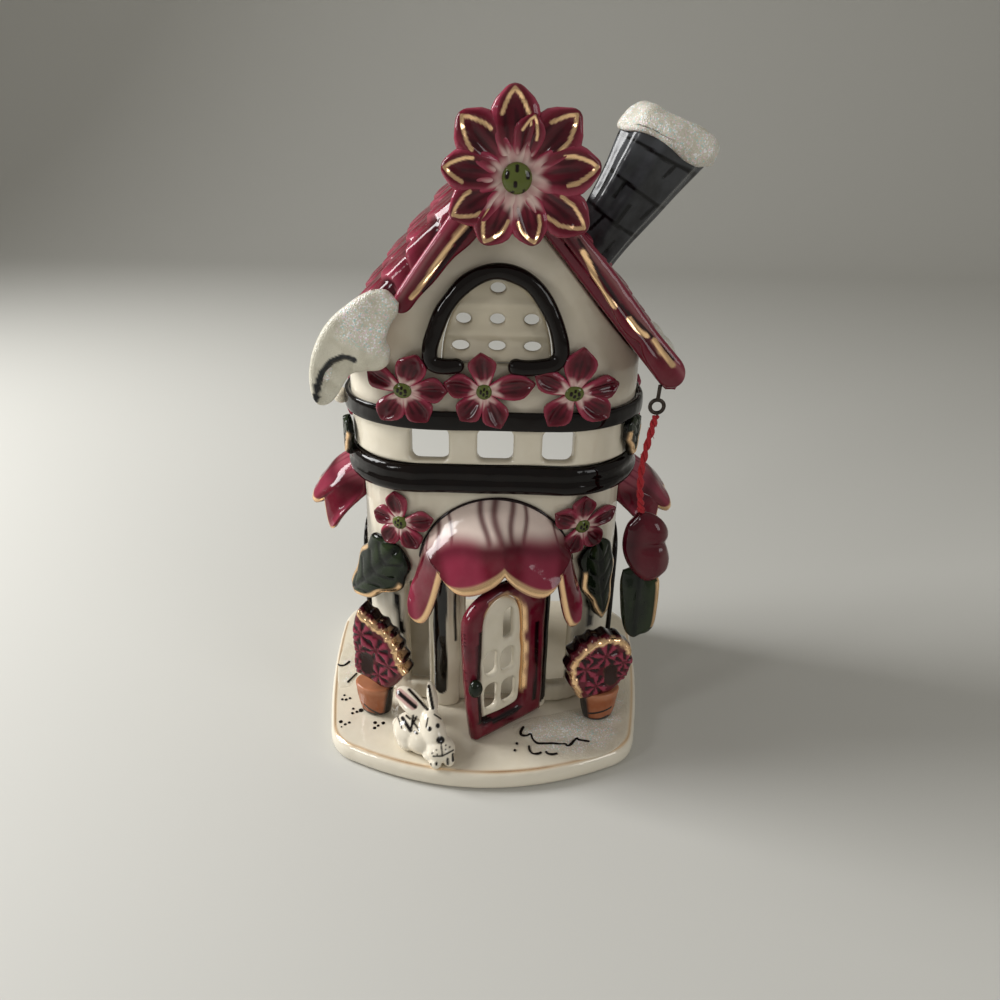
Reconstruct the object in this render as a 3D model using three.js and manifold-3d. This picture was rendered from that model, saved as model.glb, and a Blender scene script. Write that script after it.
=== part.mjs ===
// House candle holder: a hand-built earthenware cottage that a tealight stands inside.
// The maker rolls a base plate, curls slab walls on it, stacks a pierced gallery and a gabled
// upper storey, lays two roof slabs on the gables and presses rolls, flowers, leaves, awnings,
// pots and a rabbit onto the outside. The back is open, for the candle. A small clay charm
// hangs on yarn from a wire eye under the right eave, and swings.
// Millimetres. X to the right, Y to the back, Z up. The origin is on the table, under the house.

import * as THREE from "three";
import { mergeVertices } from "three/addons/utils/BufferGeometryUtils.js";
import Module from "manifold-3d";

const wasm = await Module();
wasm.setup();

// Gap between pieces that touch
const FIT = 0.3;
const QUARTER = Math.PI / 2;

// Base plate
const PLATE_THICK = 8;
const PLATE_SHIFT = -1.5;
const PLATE_FRONT_HALF = 58;
const PLATE_SIDE_HALF = 68;
const PLATE_CORNER_Y = -46;
const PLATE_FRONT_BOW = 14;
const PLATE_BACK_Y = 60;
const PLATE_BACK_RADIUS = 24;
const PLATE_FRONT_RADIUS = 9;
const PLATE_EDGE_ROUND = 2.4;

// House walls in plan: a box with broad round corners
const HOUSE_HALF_WIDTH = 50;
const HOUSE_FRONT = 20;
const HOUSE_BACK = 52;
const FRONT_CORNER_RADIUS = 27;
const BACK_CORNER_RADIUS = 14;
const CORNER_FACETS = 4;
const WALL = 5;

// Storey heights, each counted from the piece below
const LOWER_WALL_HEIGHT = 106.4;
const LOWER_BAND_HEIGHT = 11;
const GALLERY_HEIGHT = 16.7;
const UPPER_BAND_HEIGHT = 6.8;
const EAVE_HEIGHT = 15.4;

// How far each ring stands out past the lower walls
const GALLERY_PROUD = 3.5;
const GALLERY_WALL = 6;
const LOWER_BAND_PROUD = 5.6;
const UPPER_BAND_PROUD = 6.6;
const LOWER_BAND_STEP = 0.8;
const BAND_ROUND = 1.8;

// Openings in the walls
const BACK_ARCH_HALF = 38;
const BACK_ARCH_SPRING = 120;
const BACK_ARCH_RISE = 46;
const DOORWAY_HALF = 10;
const DOORWAY_HEIGHT = 60;
const WINDOW_HALF = 4.8;
const WINDOW_SILL = 8.5;
const WINDOW_HEIGHT = 48;
const WINDOW_OFFSET = 28.5;
const SIDE_WINDOW_HALF = 8;
const SIDE_WINDOW_SILL = 20;
const SIDE_WINDOW_HEIGHT = 44;
const SIDE_WINDOW_Y = 15;
const SIDE_FRAME_WIDTH = 3.2;
const SIDE_FRAME_PROUD = 2.6;

// Gallery slots
const SLOT_COUNT = 3;
const SLOT_WIDTH = 12.6;
const SLOT_HEIGHT = 11.5;
const SLOT_PITCH = 23;
const SLOT_SHIFT = 1;
const SLOT_ROUND = 2.5;

// Gable window: a pierced panel inside an arched clay coil
const GABLE_WINDOW_HALF = 18.5;
const GABLE_WINDOW_HEIGHT = 28;
const GABLE_WINDOW_SILL = 20;
const GABLE_WINDOW_SHIFT = 1.2;
const LATTICE_THICK = 3;
const LATTICE_RIB = 1.6;
const LATTICE_HOLE_WIDTH = 5.4;
const LATTICE_HOLE_HEIGHT = 3.6;
const LATTICE_ROWS = [1, 3, 3];
const LATTICE_ROW_PITCH = 9.6;
const LATTICE_HOLE_PITCH = 11.6;
const LATTICE_TOP_MARGIN = 3.6;
const ARCH_COIL_RADIUS = 2.7;

// Roof
const ROOF_PITCH = 49 * THREE.MathUtils.DEG2RAD;
const ROOF_LEFT_SPAN = 53;
const ROOF_RIGHT_SPAN = 57;
const ROOF_THICK = 6.2;
const ROOF_BACK_OVERHANG = 5;
const ROOF_FRONT_OVERHANG = 2.4;
const ROOF_CROWN = 2.4;
const SHINGLE_STEP = 1.8;
const SHINGLE_COURSES = 5;
const SHINGLE_POINT = 3.5;
const SHINGLES_ACROSS = 6;
const RIDGE_SHIFT = 2;
const BARGEBOARD_WIDTH = 9.6;
const BARGEBOARD_DROP = 1.2;
const BARGEBOARD_THICK = 5.4;
const BARGEBOARD_RIGHT_LIFT = 3;

// Flower on the gable peak
const PEAK_PETALS = 9;
const PEAK_PETAL_LENGTH = 22.6;
const PEAK_PETAL_WIDTH = 17;
const PEAK_PETAL_DROOP = 3.2;
const PEAK_PETAL_THICK = 6.4;
const PEAK_FLOWER_DROP = 14;
const PEAK_FLOWER_SHIFT = 4.2;
const PEAK_CENTRE_RADIUS = 5.2;
const PEAK_THROAT_RADIUS = 8;
const CENTRE_DOME = 0.6;

// Flowers, leaves
const PETALS = 5;
const BAND_FLOWER_REACH = 14;
const DOOR_FLOWER_REACH = 11.4;
const SIDE_FLOWER_REACH = 10.5;
const PETAL_WIDTH_SHARE = 0.92;
const PETAL_THICK = 4.6;
const FLOWER_CENTRE_RADIUS = 2.8;
const BAND_FLOWER_RISE = 14.4;
const DOOR_FLOWER_RISE = 84;
const DOOR_FLOWER_ALONG = 32.5;
const SIDE_FLOWER_ALONG = 82;
const SIDE_FLOWER_RISE = 10;
const LEAF_THICK = 3.6;
const DOOR_LEAF_LENGTH = 35;
const DOOR_LEAF_WIDTH = 18;
const DOOR_LEAF_RISE = 58;
const DOOR_LEAF_ALONG = 43;
const CORNER_LEAF_WIDTH = 9;
const CORNER_LEAF_ALONG = 58;

// Awnings
const AWNING_HALF = 26.5;
const AWNING_RISE = 64;
const AWNING_OUT = 19;
const AWNING_DROP = 19.5;
const AWNING_TIP_DROP = 43;
const AWNING_SHIFT = 2.4;
const AWNING_WALL = 3.4;
const AWNING_ROOT = 2;
const AWNING_LOBE = 10.5;
const SIDE_AWNING_HALF = 14;
const SIDE_AWNING_OUT = 19;
const SIDE_AWNING_RISE = 84;
const SIDE_AWNING_DROP = 18;
const SIDE_AWNING_TIP_DROP = 28;

// Door, set ajar against the right-hand post
const DOOR_HALF = 17;
const DOOR_FLARE = 4;
const DOOR_HEIGHT = 61;
const DOOR_STILE = 9;
const DOOR_TOP_SHARE = 0.75;
const DOOR_THICK = 6.4;
const DOOR_ROUND = 2.2;
const DOOR_ARCH = 13;
const DOOR_HINGE_X = 19;
const DOOR_HINGE_Y = -20;
const DOOR_KNOB_RISE = 28;
const DOOR_SWING = 38 * THREE.MathUtils.DEG2RAD;
const DOOR_LATTICE_THICK = 3;
const DOOR_LATTICE_BAR = 2.2;
const DOOR_LOW_HOLE_SHARE = 0.22;
const KNOB_RADIUS = 3.6;
const POST_HALF = 5.4;
const POST_PROUD = 3.4;
const POST_OFFSET = 17.6;
const POST_SHIFT = 0.9;
const POST_HEIGHT = 62;

// Flower pots
const POT_HEIGHT = 13;
const POT_TOP_RADIUS = 8;
const POT_FOOT_RADIUS = 6.2;
const POT_DEPTH_SHARE = 0.72;
const BLOOM_THICK = 9;
const BLOOM_ROUND = 2;
const BLOOM_SCALLOPS = 9;
const POT_X = 45;
const POT_Y = -27;

// Rabbit
const RABBIT_SCALE = 1;
const RABBIT_X = -24.5;
const RABBIT_Y = -46.5;
const RABBIT_TURN = 42 * THREE.MathUtils.DEG2RAD;
const EAR_LENGTH = 14.5;
const EAR_SWEEP = 0.85;

// Chimney
const CHIMNEY_LEAN = 26 * THREE.MathUtils.DEG2RAD;
const CHIMNEY_HEIGHT = 50;
const CHIMNEY_FOOT_WIDTH = 19;
const CHIMNEY_TOP_WIDTH = 30;
const CHIMNEY_DEPTH_SHARE = 0.78;
const CHIMNEY_WALL = 7;
const CHIMNEY_HOLLOW = 22;
const CHIMNEY_SLOPE_SHARE = 0.55;
const CHIMNEY_Y = 8;
const CHIMNEY_SNOW_THICK = 8;
const CHIMNEY_SNOW_PROUD = 2;
const CHIMNEY_SNOW_SKIRT = 2.4;

// Snow on the eaves
const SNOW_THICK = 4.2;
const SNOW_UP_SLOPE = 32;
const SNOW_HANG = 9;
const SNOW_LEFT_DEPTH = 34;
const SNOW_RIGHT_BACK = 16;
const SNOW_RIGHT_DEPTH = 30;

// Knob on the upper band
const BAND_KNOB_RADIUS = 3;
const BAND_KNOB_ALONG = 60;

// Charm on its yarn
const EYE_WIRE = 1.4;
const EYE_RADIUS = 2.3;
const EYE_STEM = 3.4;
const EYE_BACK_FROM_TIP = 4.5;
const YARN_LENGTH = 36;
const YARN_DIAMETER = 2.6;
const CHARM_BLOOM_RADIUS = 9;
const CHARM_BLOOM_THICK = 5;
const CHARM_LEAF_WIDTH = 15;
const CHARM_LEAF_LENGTH = 20;
const CHARM_LEAF_THICK = 7;
const CHARM_LEAF_TUCK = 2.2;
const CHARM_UPPER_SHARE = 0.92;
const CHARM_LOBE_SHIFT = 1.4;
const CHARM_TAB_RADIUS = 2.2;
const CHARM_TAB_TIP = 0.25;

// Places that follow from the sizes above
const plateTop = PLATE_THICK;
const wallBottom = plateTop + FIT;
const wallTop = wallBottom + LOWER_WALL_HEIGHT;
const lowerBandBottom = wallTop + FIT - LOWER_BAND_HEIGHT;
const galleryBottom = wallTop + FIT;
const galleryTop = galleryBottom + GALLERY_HEIGHT;
const storeyBottom = galleryTop + FIT;
const upperBandBottom = storeyBottom - UPPER_BAND_HEIGHT * 0.45;
const upperBandTop = upperBandBottom + UPPER_BAND_HEIGHT;
const slotMiddle = (galleryBottom + upperBandBottom) / 2;
const storeyHalf = HOUSE_HALF_WIDTH + GALLERY_PROUD;
const ridgeZ = storeyBottom + EAVE_HEIGHT + storeyHalf * Math.tan(ROOF_PITCH);
const slopeLength = (side) =>
  (side < 0 ? ROOF_LEFT_SPAN : ROOF_RIGHT_SPAN) / Math.cos(ROOF_PITCH);
const gableFront = -(HOUSE_FRONT + GALLERY_PROUD);
const boardBack = gableFront - ROOF_FRONT_OVERHANG - FIT;
const boardFront = boardBack - BARGEBOARD_THICK;
const roofBack = HOUSE_BACK + GALLERY_PROUD + ROOF_BACK_OVERHANG;
const windowSillZ = storeyBottom + GABLE_WINDOW_SILL;
const frontFlatHalf = HOUSE_HALF_WIDTH - FRONT_CORNER_RADIUS;

// Glazes and wire
const glaze = (colour, roughness = 0.16) =>
  new THREE.MeshStandardMaterial({ color: colour, roughness, metalness: 0 });
const IVORY = glaze(0xe6dcc6);
const CRIMSON = glaze(0x8e1c3c);
const PINK = glaze(0xc05a78);
const BLACK = glaze(0x1c1312);
const GREEN = glaze(0x26351f);
const OLIVE = glaze(0x7c8038);
const SLATE = glaze(0x55585c);
const TERRACOTTA = glaze(0xb4613f, 0.3);
const SNOW = glaze(0xeef2f0, 0.55);
const YARN = glaze(0xb01222, 0.9);
const WIRE = new THREE.MeshStandardMaterial({ color: 0x3a332b, roughness: 0.4, metalness: 0.9 });

const house = new THREE.Group();

// A closed geometry as a solid that can be joined and cut
function solid(geometry, matrix = undefined) {
  if (matrix) geometry.applyMatrix4(matrix);
  geometry.deleteAttribute("normal");
  geometry.deleteAttribute("uv");
  const merged = mergeVertices(geometry, 1e-3);
  const vertProperties = new Float32Array(merged.getAttribute("position").array);
  const triVerts = new Uint32Array(merged.index.array);
  return new wasm.Manifold(new wasm.Mesh({ numProp: 3, vertProperties, triVerts }));
}

function join(bodies) {
  return bodies.reduce((all, body) => all.add(body));
}

// A named mesh in its group, made from a solid
function part(name, body, material, group = house) {
  const made = body.getMesh();
  const geometry = new THREE.BufferGeometry();
  geometry.setAttribute("position", new THREE.BufferAttribute(made.vertProperties, 3));
  geometry.setIndex(new THREE.BufferAttribute(made.triVerts, 1));
  geometry.computeVertexNormals();
  const mesh = new THREE.Mesh(geometry, material);
  mesh.name = name;
  group.add(mesh);
  return mesh;
}

// A block bent by a formula: u, v and w run 0 to 1 through it and place() puts each point
function block(across, along, place) {
  const geometry = new THREE.BoxGeometry(1, 1, 1, across, along, 1);
  const position = geometry.getAttribute("position");
  for (let i = 0; i < position.count; i++) {
    const [x, y, z] = place(
      position.getX(i) + 0.5,
      position.getY(i) + 0.5,
      position.getZ(i) + 0.5,
    );
    position.setXYZ(i, x, y, z);
  }
  return geometry;
}

// A shape drawn in X and Z, run through from y0 to y1, with its edges rounded
function alongY(shape, y0, y1, round = 0, facets = 5) {
  const geometry = new THREE.ExtrudeGeometry(shape, {
    depth: y1 - y0 - 2 * round,
    bevelEnabled: round > 0,
    bevelThickness: round,
    bevelSize: round,
    bevelOffset: -round,
    bevelSegments: round > 2 ? 2 : 1,
    curveSegments: facets,
  });
  geometry.rotateX(QUARTER);
  geometry.translate(0, y1 - round, 0);
  return geometry;
}

// The same with the shape drawn in Y and Z, run through from x0 to x1
function alongX(shape, x0, x1, round = 0, facets = 5) {
  const geometry = alongY(shape, -x1, -x0, round, facets);
  geometry.rotateZ(QUARTER);
  return geometry;
}

// Plan of the house at a distance out from the lower walls
function houseOutline(grow) {
  const half = HOUSE_HALF_WIDTH + grow;
  const front = -(HOUSE_FRONT + grow);
  const back = HOUSE_BACK + grow;
  const rf = FRONT_CORNER_RADIUS + grow;
  const rb = BACK_CORNER_RADIUS + grow;
  const shape = new THREE.Shape();
  shape.moveTo(0, front);
  shape.absarc(half - rf, front + rf, rf, -QUARTER, 0, false);
  shape.absarc(half - rb, back - rb, rb, 0, QUARTER, false);
  shape.absarc(rb - half, back - rb, rb, QUARTER, Math.PI, false);
  shape.absarc(rf - half, front + rf, rf, Math.PI, Math.PI + QUARTER, false);
  shape.closePath();
  return shape;
}

// A closed profile of [distance out, height] points, carried round the plan
function ringAround(profile) {
  const rings = profile.map(([grow, z]) =>
    houseOutline(grow)
      .getPoints(CORNER_FACETS)
      .slice(0, -1)
      .map(({ x, y }) => [x, y, z]),
  );
  const count = rings[0].length;
  const index = [];
  for (let i = 0; i < rings.length; i++) {
    const next = (i + 1) % rings.length;
    for (let j = 0; j < count; j++) {
      const turn = (j + 1) % count;
      index.push(i * count + j, i * count + turn, next * count + turn);
      index.push(i * count + j, next * count + turn, next * count + j);
    }
  }
  const geometry = new THREE.BufferGeometry();
  const position = new THREE.Float32BufferAttribute(rings.flat(2), 3);
  geometry.setAttribute("position", position);
  geometry.setIndex(index);
  return solid(geometry);
}

// A plain ring of wall between two plans
function wallRing(outer, inner, bottom, top) {
  return ringAround([
    [inner, bottom],
    [outer, bottom],
    [outer, top],
    [inner, top],
  ]);
}

// The outside of a clay roll, from its lower edge to its upper one
function roll(outer, bottom, top) {
  const round = Math.min(BAND_ROUND, (top - bottom) / 2);
  return [
    [outer - round, bottom],
    [outer, bottom + round],
    [outer, top - round],
    [outer - round, top],
  ];
}

// The whole plan filled, to trim what is pressed on from outside
function houseCore(grow, bottom = 0, top = ridgeZ * 2, matrix = undefined) {
  const geometry = new THREE.ExtrudeGeometry(houseOutline(grow), {
    depth: top - bottom,
    bevelEnabled: false,
    curveSegments: CORNER_FACETS,
  });
  geometry.translate(0, 0, bottom);
  return solid(geometry, matrix);
}

// Where a point along the outside lies: distance from the middle of the front, and height.
// Local X then runs along the wall, local -Y points out of it and local Z is up.
function onWall(grow, along, z, spin = 0) {
  const side = Math.sign(along) || 1;
  const distance = Math.abs(along);
  const radius = FRONT_CORNER_RADIUS + grow;
  const bend = Math.min(Math.max(distance - frontFlatHalf, 0) / radius, QUARTER);
  const past = Math.max(distance - frontFlatHalf - radius * QUARTER, 0);
  const x = Math.min(distance, frontFlatHalf) + radius * Math.sin(bend);
  const y = -HOUSE_FRONT + FRONT_CORNER_RADIUS - radius * Math.cos(bend) + past;
  return new THREE.Matrix4()
    .makeTranslation(side * x, y, z)
    .multiply(new THREE.Matrix4().makeRotationZ(side * bend))
    .multiply(new THREE.Matrix4().makeRotationY(spin));
}

function archShape(middle, half, bottom, top) {
  const shape = new THREE.Shape();
  shape.moveTo(middle - half, bottom);
  shape.lineTo(middle + half, bottom);
  shape.absarc(middle, top - half, half, 0, Math.PI, false);
  shape.closePath();
  return shape;
}

function ellipseShape(x, z, rx, rz) {
  const shape = new THREE.Shape();
  shape.absellipse(x, z, rx, rz, 0, 2 * Math.PI, false, 0);
  return shape;
}

// The wide arch in the back that the candle goes in through
function backArch() {
  const shape = new THREE.Shape();
  shape.moveTo(-BACK_ARCH_HALF, 0);
  shape.lineTo(BACK_ARCH_HALF, 0);
  shape.absellipse(0, BACK_ARCH_SPRING, BACK_ARCH_HALF, BACK_ARCH_RISE, 0, Math.PI, false, 0);
  shape.closePath();
  return solid(alongY(shape, HOUSE_BACK - BACK_CORNER_RADIUS, HOUSE_BACK * 2));
}

// Base plate: a rolled slab, bowed in front, widest at its sides, round at the back
function basePlate() {
  const shape = new THREE.Shape();
  const nip = PLATE_FRONT_RADIUS;
  const bow = PLATE_CORNER_Y - 2 * PLATE_FRONT_BOW;
  const side = PLATE_SIDE_HALF;
  const front = PLATE_FRONT_HALF;
  const backStart = PLATE_BACK_Y - PLATE_BACK_RADIUS;
  shape.moveTo(nip - front, PLATE_CORNER_Y - nip * 0.4);
  shape.quadraticCurveTo(0, bow, front - nip, PLATE_CORNER_Y - nip * 0.4);
  shape.quadraticCurveTo(front, PLATE_CORNER_Y, front + 2, PLATE_CORNER_Y + nip);
  shape.quadraticCurveTo(side, 0, side, backStart);
  shape.absarc(side - PLATE_BACK_RADIUS, backStart, PLATE_BACK_RADIUS, 0, QUARTER, false);
  shape.absarc(PLATE_BACK_RADIUS - side, backStart, PLATE_BACK_RADIUS, QUARTER, Math.PI, false);
  shape.quadraticCurveTo(-side, 0, -front - 2, PLATE_CORNER_Y + nip);
  shape.quadraticCurveTo(-front, PLATE_CORNER_Y, nip - front, PLATE_CORNER_Y - nip * 0.4);
  const geometry = new THREE.ExtrudeGeometry(shape, {
    depth: PLATE_THICK - 2 * PLATE_EDGE_ROUND,
    bevelThickness: PLATE_EDGE_ROUND,
    bevelSize: PLATE_EDGE_ROUND,
    bevelOffset: -PLATE_EDGE_ROUND,
    bevelSegments: 2,
    curveSegments: 4,
  });
  geometry.translate(PLATE_SHIFT, 0, PLATE_EDGE_ROUND);
  return solid(geometry);
}
part("base_plate", basePlate(), IVORY);

// Lower walls: a slab curled to a broad U, with a doorway, front windows and side windows
function lowerWalls() {
  const through = HOUSE_FRONT * 2;
  const inside = frontFlatHalf - HOUSE_FRONT;
  const cut = (shape) => solid(alongY(shape, -through, inside));
  const doorway = archShape(POST_SHIFT, DOORWAY_HALF, 0, plateTop + DOORWAY_HEIGHT);
  const sill = plateTop + WINDOW_SILL;
  const sideSill = plateTop + SIDE_WINDOW_SILL;
  const sideTop = sideSill + SIDE_WINDOW_HEIGHT;
  const sideWindow = archShape(SIDE_WINDOW_Y, SIDE_WINDOW_HALF, sideSill, sideTop);
  let walls = wallRing(0, -WALL, wallBottom, wallTop).subtract(backArch());
  walls = walls.subtract(cut(doorway));
  for (const side of [-1, 1]) {
    const top = sill + WINDOW_HEIGHT;
    walls = walls.subtract(cut(archShape(side * WINDOW_OFFSET, WINDOW_HALF, sill, top)));
  }
  return walls.subtract(solid(alongX(sideWindow, -HOUSE_HALF_WIDTH * 2, HOUSE_HALF_WIDTH * 2)));
}
part("lower_walls", lowerWalls(), IVORY);

// Two black rolls of clay, one above the other, make the lower band. Grown, either band
// is what the pieces pressed over it are cut to.
function lowerBand(grow = 0) {
  const inner = grow ? 0 : FIT;
  const middle = lowerBandBottom + LOWER_BAND_HEIGHT / 2;
  const outer = LOWER_BAND_PROUD + grow;
  return ringAround([
    [inner, lowerBandBottom - grow],
    ...roll(outer, lowerBandBottom - grow, middle),
    ...roll(outer - LOWER_BAND_STEP, middle, wallTop + grow).slice(1),
    [inner, wallTop + grow],
  ]).subtract(backArch());
}
part("lower_band", lowerBand(), BLACK);

// Gallery: a wider ring, pierced by a row of slots in front
function gallery() {
  let ring = wallRing(GALLERY_PROUD, GALLERY_PROUD - GALLERY_WALL, galleryBottom, galleryTop);
  ring = ring.subtract(backArch());
  for (let i = 0; i < SLOT_COUNT; i++) {
    const x = SLOT_SHIFT + (i - (SLOT_COUNT - 1) / 2) * SLOT_PITCH;
    const half = SLOT_WIDTH / 2 - SLOT_ROUND;
    const rise = SLOT_HEIGHT / 2 - SLOT_ROUND;
    const slot = new THREE.Shape();
    slot.absarc(x + half, slotMiddle + rise, SLOT_ROUND, 0, QUARTER, false);
    slot.absarc(x - half, slotMiddle + rise, SLOT_ROUND, QUARTER, Math.PI, false);
    slot.absarc(x - half, slotMiddle - rise, SLOT_ROUND, Math.PI, Math.PI + QUARTER, false);
    slot.absarc(x + half, slotMiddle - rise, SLOT_ROUND, -QUARTER, 0, false);
    slot.closePath();
    ring = ring.subtract(solid(alongY(slot, -HOUSE_FRONT * 2, 0, 0, 1)));
  }
  return ring;
}
part("gallery", gallery(), IVORY);

function upperBand(grow = 0) {
  const inner = GALLERY_PROUD + (grow ? 0 : FIT);
  const bottom = upperBandBottom - grow;
  const top = upperBandTop + grow;
  return ringAround([
    [inner, bottom],
    ...roll(UPPER_BAND_PROUD + grow, bottom, top),
    [inner, top],
  ]).subtract(backArch());
}
part("upper_band", upperBand(), BLACK);

// Roof slopes. A point on one: side is -1 or 1, s runs down the slope, n stands out of it.
function slopePoint(side, s, n) {
  const x = RIDGE_SHIFT + side * (s * Math.cos(ROOF_PITCH) + n * Math.sin(ROOF_PITCH));
  const z = ridgeZ - s * Math.sin(ROOF_PITCH) + n * Math.cos(ROOF_PITCH);
  return [x, z];
}

// How far down the slope the mitre at the ridge is, at a height n over the underside
function mitre(n) {
  return (FIT / 2 - n * Math.sin(ROOF_PITCH)) / Math.cos(ROOF_PITCH);
}

// Upper storey: walls that run up into both gables, with an arched window in the front one
function windowShape(grow) {
  const shape = new THREE.Shape();
  const half = GABLE_WINDOW_HALF + grow;
  const rise = GABLE_WINDOW_HEIGHT + grow;
  shape.moveTo(GABLE_WINDOW_SHIFT - half, windowSillZ - grow);
  shape.lineTo(GABLE_WINDOW_SHIFT + half, windowSillZ - grow);
  shape.absellipse(GABLE_WINDOW_SHIFT, windowSillZ, half, rise, 0, Math.PI, false, 0);
  shape.closePath();
  return shape;
}

function upperStorey() {
  const reach = storeyHalf * 2;
  const under = new THREE.Shape();
  const drop = FIT / Math.cos(ROOF_PITCH);
  const low = ridgeZ - drop - reach * Math.tan(ROOF_PITCH);
  under.moveTo(RIDGE_SHIFT - reach, low);
  under.lineTo(RIDGE_SHIFT + reach, low);
  under.lineTo(RIDGE_SHIFT, ridgeZ - drop);
  under.closePath();
  const ring = wallRing(GALLERY_PROUD, GALLERY_PROUD - WALL, storeyBottom, ridgeZ);
  const gabled = ring.intersect(solid(alongY(under, -reach, reach)));
  const window = solid(alongY(windowShape(FIT), -HOUSE_FRONT * 2, 0));
  return gabled.subtract(backArch()).subtract(window);
}
part("upper_storey", upperStorey(), IVORY);

// The pierced panel: soft ribs between its rows of holes, and a coil laid round it
function windowLattice() {
  const back = gableFront + WALL;
  const front = back - LATTICE_THICK;
  const outline = windowShape(0);
  const top = windowSillZ + GABLE_WINDOW_HEIGHT - LATTICE_TOP_MARGIN;
  LATTICE_ROWS.forEach((count, row) => {
    for (let i = 0; i < count; i++) {
      const x = GABLE_WINDOW_SHIFT + (i - (count - 1) / 2) * LATTICE_HOLE_PITCH;
      const z = top - row * LATTICE_ROW_PITCH;
      outline.holes.push(ellipseShape(x, z, LATTICE_HOLE_WIDTH / 2, LATTICE_HOLE_HEIGHT / 2));
    }
  });
  let panel = solid(alongY(outline, front, back, 0, 5));
  const clip = solid(alongY(windowShape(0), front - LATTICE_RIB, back, 0, 5));
  for (let row = 0; row < LATTICE_ROWS.length; row++) {
    const rib = new THREE.CylinderGeometry(1, 1, GABLE_WINDOW_HALF * 2, 8);
    rib.rotateZ(QUARTER);
    rib.scale(1, LATTICE_RIB, LATTICE_ROW_PITCH * 0.22);
    rib.translate(GABLE_WINDOW_SHIFT, front + 0.2, top - (row + 0.5) * LATTICE_ROW_PITCH);
    panel = panel.add(solid(rib).intersect(clip));
  }
  return panel;
}
part("window_lattice", windowLattice(), IVORY);

// A tube along a smooth curve through points
function tube(points, radius, sides, steps) {
  const section = new THREE.Shape();
  section.absarc(0, 0, radius, 0, 2 * Math.PI, false);
  const curve = new THREE.CatmullRomCurve3(points.map((p) => new THREE.Vector3(...p)));
  return new THREE.ExtrudeGeometry(section, {
    steps,
    curveSegments: sides,
    extrudePath: curve,
    bevelEnabled: false,
  });
}

function windowArch(radius = ARCH_COIL_RADIUS) {
  const half = GABLE_WINDOW_HALF + ARCH_COIL_RADIUS;
  const rise = GABLE_WINDOW_HEIGHT + ARCH_COIL_RADIUS;
  const y = gableFront - ARCH_COIL_RADIUS * 0.8;
  const foot = windowSillZ - ARCH_COIL_RADIUS * 0.6;
  const x = GABLE_WINDOW_SHIFT;
  const points = [[x - half * 0.4, y, foot], [x - half * 0.75, y, foot - 1]];
  for (let turn = 0; turn <= 8; turn++) {
    const angle = Math.PI * (1 - turn / 8);
    points.push([x + half * Math.cos(angle), y, windowSillZ + 1 + rise * Math.sin(angle)]);
  }
  points.push([x + half * 0.75, y, foot], [x + half * 0.2, y, foot]);
  return solid(tube(points, radius, 4, 24)).subtract(houseCore(GALLERY_PROUD + FIT));
}
part("window_arch", windowArch(), BLACK);

// Roof slab: thick clay, with courses of pointed shingles. Each course starts tucked under
// the tails of the one above it, and lies half a shingle to one side of it.
function roofSlab(side, grow = 0) {
  const front = boardBack + FIT - grow;
  const cells = SHINGLE_COURSES * 2;
  const course = (slopeLength(side) + grow) / SHINGLE_COURSES;
  return solid(
    block(cells, SHINGLES_ACROSS * 2, (u, v, w) => {
      const line = Math.round(u * cells);
      const row = Math.ceil(line / 2);
      const tail = line % 2;
      const last = line === cells;
      const point = Math.abs(Math.sin(Math.PI * (v * SHINGLES_ACROSS + row / 2)));
      const reach = row * course + (line && !last ? (point - 1) * SHINGLE_POINT : 0);
      const crown = ROOF_CROWN * Math.sin(Math.PI * v) * Math.sin(Math.PI * u);
      const step = tail || last ? SHINGLE_STEP : 0;
      const n = w ? ROOF_THICK + step + crown + grow : -grow;
      const s = Math.max(mitre(n), reach + (tail || !line || last ? 0 : FIT));
      const [x, z] = slopePoint(side, line ? s : mitre(n), n);
      const through = side > 0 ? v : 1 - v;
      return [x, front + (roofBack + grow - front) * through, z];
    }),
  );
}
part("roof_left", roofSlab(-1), CRIMSON);
part("roof_right", roofSlab(1), CRIMSON);

// Bargeboard: a rolled strip along the front edge of a slope, with a round wavy tip. The
// right one is narrower towards the ridge.
function bargeboard(side, grow = 0) {
  const waves = 5;
  const low = -BARGEBOARD_DROP - grow;
  const high = BARGEBOARD_WIDTH - BARGEBOARD_DROP + grow;
  const end = slopeLength(side) + grow;
  const lift = side > 0 ? BARGEBOARD_RIGHT_LIFT : 0;
  const points = [[mitre(low + lift), low + lift]];
  for (let i = 1; i < waves * 2; i++) {
    const raised = lift * (1 - i / (waves * 2));
    points.push([(end * i) / (waves * 2), low + raised - (i % 2) * 0.7]);
  }
  for (let i = 0; i <= 6; i++) {
    const angle = -QUARTER + (Math.PI * i) / 6;
    const half = (high - low) / 2;
    points.push([end - half + half * Math.cos(angle), low + half + half * Math.sin(angle)]);
  }
  points.push([end / 2, high + 0.8], [mitre(high), high]);
  const outline = points.map(([s, n]) => new THREE.Vector2(...slopePoint(side, s, n)));
  const board = alongY(new THREE.Shape(outline), boardFront - grow, boardBack + grow, 1.6);
  return solid(board);
}
part("bargeboard_left", bargeboard(-1), PINK);
part("bargeboard_right", bargeboard(1), CRIMSON);

// One petal: a pointed spindle, flattened, with its root at the origin and its tip up
function petal(length, width, thick) {
  const outline = [
    [0, 0],
    [0.42, 0.3],
    [0.47, 0.68],
    [0, 1],
  ].map(([r, t]) => new THREE.Vector2(r * width, t * length));
  const geometry = new THREE.LatheGeometry(outline, 6);
  geometry.scale(1, 1, thick / width);
  geometry.rotateX(QUARTER);
  return geometry;
}

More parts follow.
